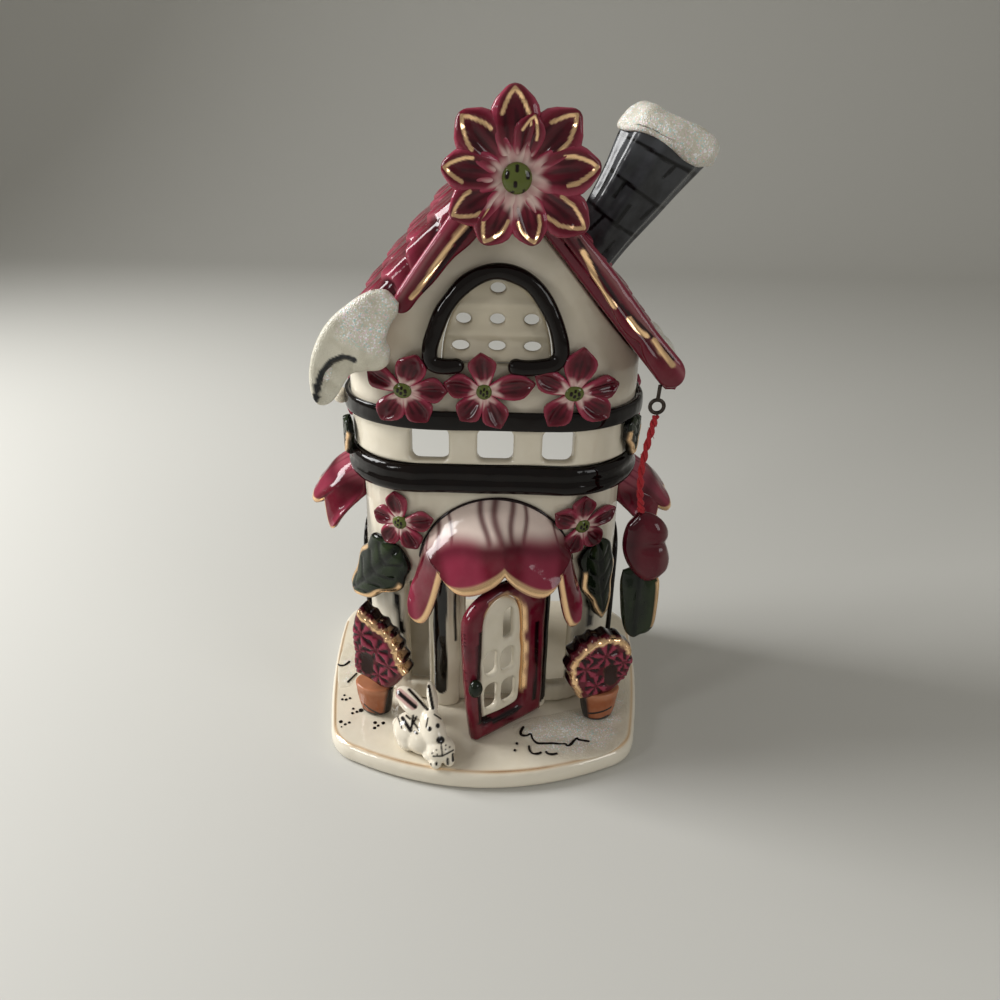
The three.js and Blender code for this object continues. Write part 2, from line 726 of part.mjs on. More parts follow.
// A flower facing local -Y: petals that lift a little at their tips, round a domed centre
function flower(at, count, reach, width, thick, centre, droop = 0) {
  const bodies = [];
  for (let i = 0; i < count; i++) {
    const angle = (2 * Math.PI * i) / count;
    const turn = new THREE.Matrix4()
      .makeRotationY(angle)
      .multiply(new THREE.Matrix4().makeRotationX(0.1));
    const one = petal(reach + droop * Math.cos(angle), width, thick);
    bodies.push(solid(one.applyMatrix4(turn).applyMatrix4(at)));
  }
  const middle = new THREE.SphereGeometry(centre, 8, 5);
  middle.scale(1, CENTRE_DOME, 1);
  middle.translate(0, -thick * 0.36, 0);
  bodies.push(solid(middle.applyMatrix4(at)));
  return join(bodies);
}

// Flower on the gable peak, pressed onto the ends of both bargeboards
const peakZ = ridgeZ + BARGEBOARD_WIDTH / Math.cos(ROOF_PITCH) - PEAK_FLOWER_DROP;
const peakX = RIDGE_SHIFT + PEAK_FLOWER_SHIFT;
const peakY = boardFront - FIT - PEAK_PETAL_THICK * 0.38;
const peakPlace = new THREE.Matrix4().makeTranslation(peakX, peakY, peakZ);

// The olive button in its throat
function peakCentre(grow = 0) {
  const button = new THREE.SphereGeometry(PEAK_CENTRE_RADIUS + grow, 12, 7);
  button.scale(1, 0.55, 1);
  button.translate(0, -PEAK_PETAL_THICK * 0.36 - PEAK_THROAT_RADIUS * CENTRE_DOME, 0);
  return solid(button.applyMatrix4(peakPlace));
}

function peakFlower() {
  const width = PEAK_PETAL_WIDTH;
  const thick = PEAK_PETAL_THICK;
  const throat = PEAK_THROAT_RADIUS;
  const droop = PEAK_PETAL_DROOP;
  const petals = flower(peakPlace, PEAK_PETALS, PEAK_PETAL_LENGTH, width, thick, throat, droop);
  const behind = join([bargeboard(-1, FIT), bargeboard(1, FIT)]);
  return petals.subtract(peakCentre(FIT)).subtract(behind);
}
part("peak_flower", peakFlower(), CRIMSON);
part("peak_flower_centre", peakCentre(), OLIVE);

// Flowers pressed over the upper band: side by side, as far apart as they reach
const wallCut = houseCore(FIT, 0, wallTop);
const lowerCut = lowerBand(FIT);
const seat = houseCore(GALLERY_PROUD + FIT);
const bandCut = upperBand(FIT);
const archCut = windowArch(ARCH_COIL_RADIUS + FIT);
const flowerWidth = (reach) => reach * PETAL_WIDTH_SHARE;
const bandFlowerPitch = 2 * BAND_FLOWER_REACH + FIT;
const bandFlowerZ = upperBandBottom + BAND_FLOWER_RISE;
["left", "middle", "right"].forEach((place, i) => {
  const along = (i - 1) * bandFlowerPitch;
  const z = bandFlowerZ;
  const at = onWall(UPPER_BAND_PROUD - 0.6, along, z, i === 1 ? 0.35 : 0);
  const reach = BAND_FLOWER_REACH;
  const body = flower(at, PETALS, reach, flowerWidth(reach), PETAL_THICK, FLOWER_CENTRE_RADIUS);
  const seated = body.subtract(seat).subtract(bandCut).subtract(archCut);
  part("band_flower_" + place, seated, CRIMSON);
});

// Chimney, leaning outwards, with a ring of snow on its rim. Both are turned on one axis.
const chimneyFootS = slopeLength(1) * CHIMNEY_SLOPE_SHARE;
const [chimneyX, chimneyZ] = slopePoint(1, chimneyFootS, 0);
const chimneyPlace = new THREE.Matrix4()
  .makeTranslation(chimneyX, CHIMNEY_Y, chimneyZ)
  .multiply(new THREE.Matrix4().makeRotationY(CHIMNEY_LEAN))
  .multiply(new THREE.Matrix4().makeScale(1, CHIMNEY_DEPTH_SHARE, 1));

function turned(profile, sides, place) {
  const outline = profile.map(([r, z]) => new THREE.Vector2(r, z));
  const geometry = new THREE.LatheGeometry(outline, sides);
  geometry.rotateX(QUARTER);
  return solid(geometry.applyMatrix4(place));
}

// All that lies under a roof slope, down to a depth
function underSlope(side, depth, s0, s1) {
  return solid(
    block(1, 1, (u, v, w) => {
      const [x, z] = slopePoint(side, s0 + (s1 - s0) * u, w ? ROOF_THICK / 2 : -depth);
      const through = side > 0 ? v : 1 - v;
      return [x, boardFront + (roofBack * 2 - boardFront) * through, z];
    }),
  );
}

function chimney() {
  const foot = CHIMNEY_FOOT_WIDTH / 2;
  const top = CHIMNEY_TOP_WIDTH / 2;
  const rim = top - CHIMNEY_WALL;
  const floor = CHIMNEY_HEIGHT - CHIMNEY_HOLLOW;
  const profile = [
    [0, 0],
    [foot * 0.96, 0],
    [foot, CHIMNEY_HEIGHT * 0.25],
    [foot * 0.4 + top * 0.6, CHIMNEY_HEIGHT * 0.7],
    [top, CHIMNEY_HEIGHT],
    [rim, CHIMNEY_HEIGHT],
    [rim * 0.7, floor],
    [0, floor],
  ];
  const body = turned(profile, 16, chimneyPlace);
  const under = underSlope(1, CHIMNEY_HEIGHT, -CHIMNEY_HEIGHT / 4, slopeLength(1) * 2);
  return body.subtract(under).subtract(roofSlab(1, FIT));
}
part("chimney", chimney(), SLATE);

function chimneySnow() {
  const rim = CHIMNEY_TOP_WIDTH / 2;
  const inner = rim - CHIMNEY_WALL - CHIMNEY_SNOW_PROUD / 2;
  const outer = rim + CHIMNEY_SNOW_PROUD;
  const seatZ = CHIMNEY_HEIGHT + FIT;
  const skirt = CHIMNEY_HEIGHT - CHIMNEY_SNOW_SKIRT;
  const gap = rim + FIT / CHIMNEY_DEPTH_SHARE;
  const profile = [
    [gap, skirt],
    [outer - 0.6, skirt],
    [outer + 0.4, skirt + CHIMNEY_SNOW_SKIRT / 2],
    [outer, seatZ + CHIMNEY_SNOW_THICK * 0.5],
    [outer - 3, seatZ + CHIMNEY_SNOW_THICK],
    [inner + 3, seatZ + CHIMNEY_SNOW_THICK],
    [inner, seatZ + CHIMNEY_SNOW_THICK * 0.6],
    [inner + 1, seatZ],
    [gap, seatZ],
    [gap, skirt],
  ];
  return turned(profile, 16, chimneyPlace);
}
part("chimney_snow", chimneySnow(), SNOW);

// Snow on the eaves: a pad over the slab's edge, and on the left a patch down the board too
function snowShape(side, points) {
  const curve = new THREE.SplineCurve(
    points.map(([s, n]) => new THREE.Vector2(...slopePoint(side, s, n))),
  );
  const count = Math.round(points.length * 1.6);
  return new THREE.Shape(curve.getPoints(count).slice(0, count));
}

const eaveCut = join([roofSlab(-1, FIT), bargeboard(-1, FIT), houseCore(GALLERY_PROUD + FIT)]);
const over = ROOF_THICK + SHINGLE_STEP + ROOF_CROWN;

// A pad of snow over the edge of a slab, from so far up the slope
function snowPad(side, up, thick) {
  const end = slopeLength(side);
  return snowShape(side, [
    [end - up, over - 3],
    [end - up * 0.8, over + thick * 0.7],
    [end - up * 0.35, over + thick],
    [end + 1.5, over + thick - 2.5],
    [end + 2.6, over - 4.5],
    [end - up * 0.3, over - 5],
    [end - up, over - 3],
  ]);
}

function eaveSnowLeft() {
  const end = slopeLength(-1);
  const reach = SNOW_UP_SLOPE;
  const top = over + SNOW_THICK * 0.3;
  const front = boardFront - SNOW_THICK;
  const patchShape = snowShape(-1, [
    [end - reach, 0],
    [end - reach * 0.92, top - 3],
    [end - reach * 0.45, top],
    [end - reach * 0.08, top - 1],
    [end + reach * 0.12, 4],
    [end + SNOW_HANG, -2],
    [end, -5.5],
    [end - reach * 0.4, -8.5],
    [end - reach * 0.78, -5],
    [end - reach, 0],
  ]);
  const padShape = snowPad(-1, reach * 0.9, SNOW_THICK * 0.5);
  const pad = solid(alongY(padShape, front + 1, boardBack + SNOW_LEFT_DEPTH, 1.2));
  const patch = solid(alongY(patchShape, front, boardFront - FIT, 1.4));
  return pad.subtract(eaveCut).add(patch);
}
part("eave_snow_left", eaveSnowLeft(), SNOW);

function eaveSnowRight() {
  const outline = snowPad(1, SNOW_UP_SLOPE * 0.6, SNOW_THICK * 0.4).getPoints().reverse();
  const front = boardBack + SNOW_RIGHT_BACK;
  const body = solid(alongY(new THREE.Shape(outline), front, front + SNOW_RIGHT_DEPTH, 1.2));
  return body.subtract(roofSlab(1, FIT));
}
part("eave_snow_right", eaveSnowRight(), SNOW);

// Awning: a shell that springs from an arch on the wall and falls to a lobed edge. Given in
// its own frame: local X across, local -Y out of the wall, and Z from the arch's middle.
function hood(spec, place, grow = 0) {
  const turn = spec.sweep * THREE.MathUtils.DEG2RAD;
  const geometry = block(spec.facets, 4, (u, v, w) => {
    const a = 2 * u - 1;
    const t = 1 - v;
    const lobes = Math.abs(Math.sin((Math.PI * a) / spec.lobeSpan));
    const past = Math.max(Math.abs(a) - spec.lobeSpan, 0) / (1 - spec.lobeSpan);
    const hang = Math.sin(QUARTER * past * 1.35);
    const wallX = spec.half * Math.sin(turn * a);
    const wallZ = spec.half * Math.cos(turn * a);
    const edgeX = spec.edgeHalf * a * (1 - spec.flare + spec.flare * a ** 4);
    const edgeOut = spec.out * (1 - 0.5 * Math.abs(a) ** 2.5);
    const notch = spec.half - spec.drop;
    const fall = past ? (spec.tipDrop - spec.drop) * hang : spec.lobe * lobes;
    const edgeZ = notch - fall;
    const bulge = Math.sin(Math.PI * t) * 3 + lobes * t * 1.5;
    const stand = (w ? AWNING_WALL + grow : -grow) + bulge;
    const x = wallX + (edgeX - wallX) * t + stand * 0.75 * Math.sin(turn * a);
    const y = AWNING_ROOT - (edgeOut + AWNING_ROOT) * t - stand * 0.5;
    const z = wallZ + (edgeZ - wallZ) * t + stand * 0.8 * Math.max(Math.cos(turn * a), 0.2);
    return [x, y, z];
  });
  return solid(geometry.applyMatrix4(place));
}

const frontWall = new THREE.Matrix4().makeTranslation(
  AWNING_SHIFT,
  -HOUSE_FRONT,
  plateTop + AWNING_RISE,
);
const doorHood = {
  half: AWNING_HALF,
  edgeHalf: AWNING_HALF * 1.36,
  flare: 0.18,
  sweep: 95,
  out: AWNING_OUT,
  drop: AWNING_DROP,
  tipDrop: AWNING_TIP_DROP,
  lobe: AWNING_LOBE,
  lobeSpan: 0.8,
  facets: 20,
};
part("door_awning", hood(doorHood, frontWall).subtract(wallCut), CRIMSON);

const sideHood = {
  half: SIDE_AWNING_HALF,
  edgeHalf: SIDE_AWNING_HALF * 1.3,
  flare: 0.1,
  sweep: 90,
  out: SIDE_AWNING_OUT,
  drop: SIDE_AWNING_DROP,
  tipDrop: SIDE_AWNING_TIP_DROP,
  lobe: AWNING_LOBE * 0.6,
  lobeSpan: 0.8,
  facets: 10,
};
const sidePlace = (side) =>
  new THREE.Matrix4()
    .makeTranslation(side * HOUSE_HALF_WIDTH, SIDE_WINDOW_Y, plateTop + SIDE_AWNING_RISE)
    .multiply(new THREE.Matrix4().makeRotationZ(side * QUARTER));
for (const [name, side] of [["left", -1], ["right", 1]]) {
  const shell = hood(sideHood, sidePlace(side)).subtract(wallCut).subtract(lowerCut);
  part("side_awning_" + name, shell, CRIMSON);
}

// Frames round the side windows: a wavy roll on the wall
for (const [name, side] of [["left", -1], ["right", 1]]) {
  const sill = plateTop + SIDE_WINDOW_SILL;
  const top = sill + SIDE_WINDOW_HEIGHT;
  const grow = SIDE_FRAME_WIDTH;
  const outer = archShape(SIDE_WINDOW_Y, SIDE_WINDOW_HALF + grow, sill - grow, top + grow);
  outer.holes.push(archShape(SIDE_WINDOW_Y, SIDE_WINDOW_HALF, sill, top));
  const inside = HOUSE_HALF_WIDTH + FIT;
  const outside = inside + SIDE_FRAME_PROUD;
  const [x0, x1] = side > 0 ? [inside, outside] : [-outside, -inside];
  part("side_window_frame_" + name, solid(alongX(outer, x0, x1, 0.8, 5)), BLACK);
}

// Flowers either side of the door, cut to the wall and the awning
const hoodCut = hood(doorHood, frontWall, FIT);
for (const [name, side] of [["left", -1], ["right", 1]]) {
  const reach = DOOR_FLOWER_REACH;
  const at = onWall(1, AWNING_SHIFT + side * DOOR_FLOWER_ALONG, plateTop + DOOR_FLOWER_RISE, side);
  const body = flower(at, PETALS, reach, flowerWidth(reach), PETAL_THICK, FLOWER_CENTRE_RADIUS);
  part("door_flower_" + name, body.subtract(wallCut).subtract(hoodCut), CRIMSON);
}

// Flowers on the sides of the gallery
for (const [name, side] of [["left", -1], ["right", 1]]) {
  const reach = SIDE_FLOWER_REACH;
  const z = slotMiddle + SIDE_FLOWER_RISE / 2;
  const at = onWall(UPPER_BAND_PROUD - 0.6, side * SIDE_FLOWER_ALONG, z, 0.5);
  const body = flower(at, PETALS, reach, flowerWidth(reach), PETAL_THICK, FLOWER_CENTRE_RADIUS);
  part("side_flower_" + name, body.subtract(seat).subtract(bandCut).subtract(lowerCut), CRIMSON);
}

// A point on the outside of the house: along the wall, out of it, and up
function wallPoint(grow, along, out, z) {
  return new THREE.Vector3(0, -out, 0).applyMatrix4(onWall(grow, along, z)).toArray();
}

// A leaf laid on the wall and bent round the corner: tip down, with a raised midrib
function leaf(spec) {
  const geometry = block(4, 8, (u, v, w) => {
    const half = 0.35 + (spec.width / 2) * Math.sin(Math.PI * v) ** 0.8;
    const across = 2 * u - 1;
    const down = (v - 0.5) * spec.length;
    const swell = LEAF_THICK * (1 - 0.75 * Math.abs(across)) * Math.sin(Math.PI * v) ** 0.4;
    const out = FIT + w * (0.8 + swell);
    const x = across * half * Math.cos(spec.tilt) - down * Math.sin(spec.tilt);
    const z = across * half * Math.sin(spec.tilt) + down * Math.cos(spec.tilt);
    return wallPoint(spec.grow, spec.along + x, out, spec.z + z);
  });
  return solid(geometry);
}

for (const [name, side] of [["left", -1], ["right", 1]]) {
  const doorLeaf = {
    grow: 0,
    along: side * DOOR_LEAF_ALONG,
    z: plateTop + DOOR_LEAF_RISE,
    length: DOOR_LEAF_LENGTH,
    width: DOOR_LEAF_WIDTH,
    tilt: side < 0 ? -0.55 : 0.12,
  };
  part("door_leaf_" + name, leaf(doorLeaf), GREEN);
  const cornerLeaf = {
    grow: GALLERY_PROUD,
    along: side * CORNER_LEAF_ALONG,
    z: (galleryBottom + upperBandBottom) / 2,
    length: upperBandBottom - galleryBottom - 2 * FIT,
    width: CORNER_LEAF_WIDTH,
    tilt: 0,
  };
  part("corner_leaf_" + name, leaf(cornerLeaf), GREEN);
}

// Half-round posts either side of the doorway
function doorPost(side, grow = 0, matrix = undefined) {
  const section = new THREE.Shape();
  section.absellipse(0, 0, POST_HALF + grow, POST_PROUD + FIT + grow, Math.PI, 2 * Math.PI);
  section.closePath();
  const geometry = new THREE.ExtrudeGeometry(section, {
    depth: POST_HEIGHT + 2 * grow,
    bevelEnabled: false,
    curveSegments: 8,
  });
  const x = POST_SHIFT + side * POST_OFFSET;
  geometry.translate(x, -HOUSE_FRONT, plateTop + FIT - grow);
  return solid(geometry, matrix);
}
part("door_post_left", doorPost(-1).subtract(wallCut), IVORY);
part("door_post_right", doorPost(1).subtract(wallCut), IVORY);

// Door: a thick frame with a pierced panel and a knob, hinge edge on the right-hand post.
// In its own frame the hinge edge is x = 0 and the outer face looks along -Y.
const door = new THREE.Group();
door.position.set(DOOR_HINGE_X, DOOR_HINGE_Y, plateTop + FIT);
door.rotation.z = DOOR_SWING;
door.updateMatrix();
house.add(door);

function doorShape(inset, bottom = inset) {
  const half = DOOR_HALF - inset;
  const spring = DOOR_HEIGHT - DOOR_ARCH;
  const shape = new THREE.Shape();
  const arch = DOOR_ARCH - inset * DOOR_TOP_SHARE;
  const bulge = DOOR_FLARE * (spring / DOOR_HEIGHT);
  shape.moveTo(-DOOR_HALF - half, bottom);
  shape.lineTo(-DOOR_HALF + half, bottom);
  shape.absellipse(-DOOR_HALF, spring, half, arch, 0, QUARTER, false, 0);
  shape.absellipse(-DOOR_HALF, spring, half + DOOR_FLARE, arch, QUARTER, Math.PI, false, 0);
  shape.quadraticCurveTo(-DOOR_HALF - half - bulge, spring * 0.45, -DOOR_HALF - half, bottom);
  return shape;
}

function doorFrame() {
  const shape = doorShape(0);
  shape.holes.push(doorShape(DOOR_STILE));
  const ring = solid(alongY(shape, -DOOR_THICK, 0, DOOR_ROUND, 4));
  const intoDoor = door.matrix.clone().invert();
  const core = houseCore(FIT, 0, wallTop, intoDoor);
  return ring.subtract(core).subtract(doorPost(1, FIT, intoDoor));
}
part("door_frame", doorFrame(), CRIMSON, door);

// Its panel has two tall openings over two rows of short ones
function doorLattice() {
  const clear = DOOR_STILE + FIT;
  const bar = DOOR_LATTICE_BAR;
  const bottom = clear + bar;
  const top = DOOR_HEIGHT - DOOR_ARCH;
  const low = (top - bottom - bar) * DOOR_LOW_HOLE_SHARE;
  const width = DOOR_HALF - clear - bar * 1.5;
  const back = (DOOR_LATTICE_THICK - DOOR_THICK) / 2;
  const front = back - DOOR_LATTICE_THICK;
  const rows = [
    [bottom, low],
    [bottom + low + bar, low],
    [bottom + 2 * (low + bar), top - bottom - 2 * (low + bar)],
  ];
  let panel = solid(alongY(doorShape(clear), front, back, 0, 4));
  for (const [from, height] of rows) {
    for (const side of [-1, 1]) {
      const hole = new THREE.BoxGeometry(width, DOOR_THICK * 2, height);
      hole.translate((side * (width + bar)) / 2 - DOOR_HALF, front, from + height / 2);
      panel = panel.subtract(solid(hole));
    }
  }
  return panel;
}
part("door_lattice", doorLattice(), IVORY, door);

function doorKnob() {
  const at = new THREE.Matrix4().makeTranslation(
    DOOR_STILE / 2 - 2 * DOOR_HALF,
    -DOOR_THICK - FIT,
    DOOR_KNOB_RISE,
  );
  const profile = [
    [0, 0],
    [KNOB_RADIUS, 0],
    [KNOB_RADIUS * 1.06, KNOB_RADIUS * 0.35],
    [KNOB_RADIUS * 0.75, KNOB_RADIUS * 0.85],
    [0, KNOB_RADIUS],
  ];
  return turned(profile, 12, at.multiply(new THREE.Matrix4().makeRotationX(QUARTER)));
}
part("door_knob", doorKnob(), GREEN, door);

// Pots of flowers at the front corners: a flattened pot, and a scalloped bloom over it
function pot(spec) {
  const profile = [
    [0, 0],
    [POT_FOOT_RADIUS, 0],
    [POT_TOP_RADIUS * 0.94, POT_HEIGHT * 0.6],
    [POT_TOP_RADIUS, POT_HEIGHT],
    [0, POT_HEIGHT],
  ];
  const place = new THREE.Matrix4()
    .makeTranslation(spec.x, spec.y, plateTop + FIT)
    .multiply(new THREE.Matrix4().makeScale(1, POT_DEPTH_SHARE, 1));
  return turned(profile, 16, place);
}

function potBloom(spec) {
  const outline = [];
  const steps = BLOOM_SCALLOPS * 3;
  for (let i = 0; i < steps; i++) {
    const angle = (2 * Math.PI * i) / steps;
    const lobe = 0.93 + 0.1 * Math.abs(Math.cos((BLOOM_SCALLOPS * angle) / 2));
    const x = (spec.width / 2) * lobe * Math.sin(-angle);
    outline.push(new THREE.Vector2(x, (spec.height / 2) * (1 + lobe * Math.cos(angle))));
  }
  const geometry = alongY(new THREE.Shape(outline), -BLOOM_THICK / 2, BLOOM_THICK / 2, BLOOM_ROUND);
  const place = new THREE.Matrix4()
    .makeTranslation(spec.x + spec.lean, spec.y, plateTop + 2 * FIT + POT_HEIGHT)
    .multiply(new THREE.Matrix4().makeRotationZ(spec.turn));
  return solid(geometry.applyMatrix4(place)).subtract(wallCut);
}

const pots = {
  left: { x: -POT_X, y: POT_Y, lean: 1.5, turn: -0.35, width: 24, height: 31 },
  right: { x: POT_X - 2, y: POT_Y, lean: 0.5, turn: 0.3, width: 27, height: 24 },
};
for (const [name, spec] of Object.entries(pots)) {
  part("pot_" + name, pot(spec), TERRACOTTA);
  part("pot_bloom_" + name, potBloom(spec), TERRACOTTA);
}

// Rabbit, crouching, modelled from joined balls of clay. Its own X is forward and Z is up.
function rabbit() {
  const place = new THREE.Matrix4()
    .makeTranslation(RABBIT_X, RABBIT_Y, plateTop + FIT)
    .multiply(new THREE.Matrix4().makeRotationZ(RABBIT_TURN - QUARTER))
    .multiply(new THREE.Matrix4().makeScale(RABBIT_SCALE, RABBIT_SCALE, RABBIT_SCALE));
  const ball = (x, y, z, rx, ry, rz, tilt = 0) => {
    const geometry = new THREE.SphereGeometry(1, 8, 5);
    geometry.rotateX(QUARTER);
    geometry.scale(rx, ry, rz);
    geometry.rotateY(tilt);
    geometry.translate(x, y, z);
    return solid(geometry, place);
  };
  const back = ball(-6.5, 0, 5.2, 9.5, 7, 7);
  const head = ball(5.5, 0, 11, 8.2, 5.4, 5.2, 0.55);
  const muzzle = ball(11, 0, 6.4, 3.6, 5, 3.6);
  const tail = ball(-15.5, 0, 4.5, 2.6, 2.6, 2.6);
  const bodies = [back, head, muzzle, tail];
  for (const side of [-1, 1]) {
    const haunch = ball(-7, side * 4.6, 3.4, 6.4, 4, 5);
    const paw = ball(11, side * 3.4, 1.6, 4, 2.6, 2.6);
    const ear = petal(EAR_LENGTH, EAR_LENGTH * 0.42, EAR_LENGTH * 0.26);
    ear.rotateZ(QUARTER);
    ear.rotateX(-side * 0.3);
    ear.rotateY(-EAR_SWEEP);
    ear.translate(1.5, side * 2.4, 12.6);
    bodies.push(haunch, paw, solid(ear, place));
  }
  const ground = new THREE.BoxGeometry(EAR_LENGTH * 5, EAR_LENGTH * 5, EAR_LENGTH);
  ground.translate(RABBIT_X, RABBIT_Y, plateTop + FIT - EAR_LENGTH / 2);
  return join(bodies).subtract(solid(ground));
}
part("rabbit", rabbit(), IVORY);

// A small knob of clay at the left end of the upper band
function bandKnob() {
  const middle = (upperBandBottom + upperBandTop) / 2;
  const at = onWall(UPPER_BAND_PROUD, -BAND_KNOB_ALONG, middle);
  const knob = new THREE.SphereGeometry(BAND_KNOB_RADIUS, 10, 7);
  return solid(knob.applyMatrix4(at)).subtract(bandCut);
}
part("band_knob", bandKnob(), IVORY);

// Charm: a wire eye pressed into the right bargeboard's tip, a loop of yarn, and two pieces
// of clay that hang as one
const eyeS = slopeLength(1) - EYE_BACK_FROM_TIP;
const [eyeX, eyeTopZ] = slopePoint(1, eyeS, -BARGEBOARD_DROP);
const eyeY = (boardFront + boardBack) / 2;
const eyeZ = eyeTopZ - EYE_STEM - EYE_RADIUS;

function charmEye() {
  const wire = EYE_WIRE / 2;
  const ring = new THREE.TorusGeometry(EYE_RADIUS, wire, 8, 16);
  ring.rotateX(QUARTER);
  ring.translate(eyeX, eyeY, eyeZ);
  const stem = new THREE.CylinderGeometry(wire, wire, EYE_STEM * 2, 8);
  stem.rotateX(QUARTER);
  stem.translate(eyeX, eyeY, eyeZ + EYE_RADIUS + EYE_STEM);
  return solid(ring).add(solid(stem)).subtract(bargeboard(1, FIT));
}
part("charm_eye", charmEye(), WIRE);

// The yarn's route, from under the eye down to the clay
const yarnTop = eyeZ - EYE_RADIUS - EYE_WIRE / 2 - FIT;
const yarnRoute = [
  [0, 0],
  [-0.9, 0.14],
  [-2.1, 0.34],
  [-2.9, 0.56],
  [-2.6, 0.78],
  [-1.8, 0.93],
  [-1.5, 1],
].map(([x, t]) => [eyeX + x, eyeY, yarnTop - t * YARN_LENGTH]);
const yarn = solid(tube(yarnRoute, YARN_DIAMETER / 2, 4, 8));
part("yarn_loop", yarn, YARN);

const charmX = eyeX - 1.5;
const charmTop = yarnTop - YARN_LENGTH - FIT;

const bloomTop = charmTop - CHARM_BLOOM_RADIUS * 0.5;
const lobeZ = bloomTop - CHARM_BLOOM_RADIUS * CHARM_UPPER_SHARE * 2.35;

// The bloom's lower lobe, also grown, to trim the leaf that is stuck to it
function charmLobe(grow = 0) {
  const radius = CHARM_BLOOM_RADIUS + grow;
  const lobe = new THREE.SphereGeometry(1, 12, 6);
  lobe.scale(radius, CHARM_BLOOM_THICK * 0.575 + grow, radius);
  lobe.translate(charmX + CHARM_LOBE_SHIFT, eyeY, lobeZ);
  return solid(lobe);
}

function charmBloom() {
  const radius = CHARM_BLOOM_RADIUS;
  const tab = new THREE.CylinderGeometry(CHARM_TAB_TIP, CHARM_TAB_RADIUS, radius, 10);
  tab.rotateX(QUARTER);
  tab.translate(charmX, eyeY, bloomTop);
  const upper = radius * CHARM_UPPER_SHARE;
  const topLobe = new THREE.SphereGeometry(1, 12, 6);
  topLobe.scale(upper, CHARM_BLOOM_THICK / 2, upper);
  topLobe.translate(charmX, eyeY, bloomTop - upper * 0.8);
  return join([solid(tab), solid(topLobe), charmLobe()]);
}

function charmLeaf() {
  const top = lobeZ - CHARM_BLOOM_RADIUS + CHARM_LEAF_TUCK;
  const geometry = block(4, 8, (u, v, w) => {
    const across = 2 * u - 1;
    const spread = 0.55 + 0.45 * Math.sin(Math.PI * (0.15 + 0.7 * v));
    const half = (CHARM_LEAF_WIDTH / 2) * spread * (v < 0.01 ? 0.5 : 1);
    const thick = 0.3 + (CHARM_LEAF_THICK / 2) * Math.sqrt(1 - 0.85 * across * across);
    const z = top - CHARM_LEAF_LENGTH * (1 - v);
    const x = charmX + across * half;
    return [x, eyeY + (w ? -thick : thick), z];
  });
  return solid(geometry).subtract(charmLobe(FIT));
}
part("charm_bloom", charmBloom(), PINK);
part("charm_leaf", charmLeaf(), GREEN);

export default house;
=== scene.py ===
import math
from collections import namedtuple
import bmesh
import bpy
import numpy as np
from mathutils import Matrix, Vector
from mathutils.geometry import delaunay_2d_cdt


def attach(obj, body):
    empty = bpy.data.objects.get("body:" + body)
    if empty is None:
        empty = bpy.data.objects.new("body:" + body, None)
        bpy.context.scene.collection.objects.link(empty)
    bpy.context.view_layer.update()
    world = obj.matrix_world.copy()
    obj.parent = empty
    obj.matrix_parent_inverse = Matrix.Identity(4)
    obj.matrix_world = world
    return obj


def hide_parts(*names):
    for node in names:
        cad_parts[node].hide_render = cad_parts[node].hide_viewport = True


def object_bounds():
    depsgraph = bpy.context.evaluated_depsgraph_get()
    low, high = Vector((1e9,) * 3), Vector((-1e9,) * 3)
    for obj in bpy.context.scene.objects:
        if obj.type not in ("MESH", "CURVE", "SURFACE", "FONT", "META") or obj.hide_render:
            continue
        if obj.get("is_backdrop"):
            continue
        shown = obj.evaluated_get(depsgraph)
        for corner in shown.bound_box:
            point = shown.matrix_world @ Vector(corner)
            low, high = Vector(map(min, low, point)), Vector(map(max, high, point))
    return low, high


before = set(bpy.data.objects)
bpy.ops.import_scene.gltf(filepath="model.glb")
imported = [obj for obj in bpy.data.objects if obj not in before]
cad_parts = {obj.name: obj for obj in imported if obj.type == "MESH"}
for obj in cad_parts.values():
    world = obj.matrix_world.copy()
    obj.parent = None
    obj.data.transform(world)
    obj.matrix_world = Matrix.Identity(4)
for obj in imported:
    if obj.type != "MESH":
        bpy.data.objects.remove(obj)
cad_low, cad_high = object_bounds()

# Camera, where the picture's frame puts it: 28.8 mm lens, about 30 cm in front of the cottage
# and level with its peak, looking down at it with a slight roll.
CAMERA_AT = (0.0034, -0.2844, 0.2253)
CAMERA_PITCH = math.radians(25.32)
CAMERA_ROLL = math.radians(1.34)
camera_data = bpy.data.cameras.new("camera")
camera_data.lens = 28.8
camera_data.sensor_width = 36
camera_data.clip_start = 0.01
camera = bpy.data.objects.new("camera", camera_data)
camera.matrix_world = (
    Matrix.Translation(CAMERA_AT)
    @ Matrix.Rotation(math.pi / 2 - CAMERA_PITCH, 4, "X")
    @ Matrix.Rotation(CAMERA_ROLL, 4, "Z")
)
bpy.context.scene.collection.objects.link(camera)
bpy.context.scene.camera = camera
bpy.context.scene.view_settings.view_transform = "Standard"


# Yarn: two strands of red wool, twisted round each other, tied to the wire eye under the right
# eave and to the top of the clay charm. Wool scatters light and stands out in loose fibres.
def linear(code):
    """A colour written as sRGB hex, as linear red, green, blue and alpha 1."""
    channels = [int(code[i : i + 2], 16) / 255 for i in (0, 2, 4)]
    return [c / 12.92 if c < 0.04045 else ((c + 0.055) / 1.055) ** 2.4 for c in channels] + [1.0]


def add(material, kind, inputs=None, **settings):
    """Adds a node to a material. An input is a value, or the output socket that it is fed from."""
    made = material.node_tree.nodes.new("ShaderNode" + kind)
    for key, value in settings.items():
        setattr(made, key, value)
    for key, value in (inputs or {}).items():
        if isinstance(value, bpy.types.NodeSocket):
            material.node_tree.links.new(value, made.inputs[key])
        else:
            made.inputs[key].default_value = value
    return made


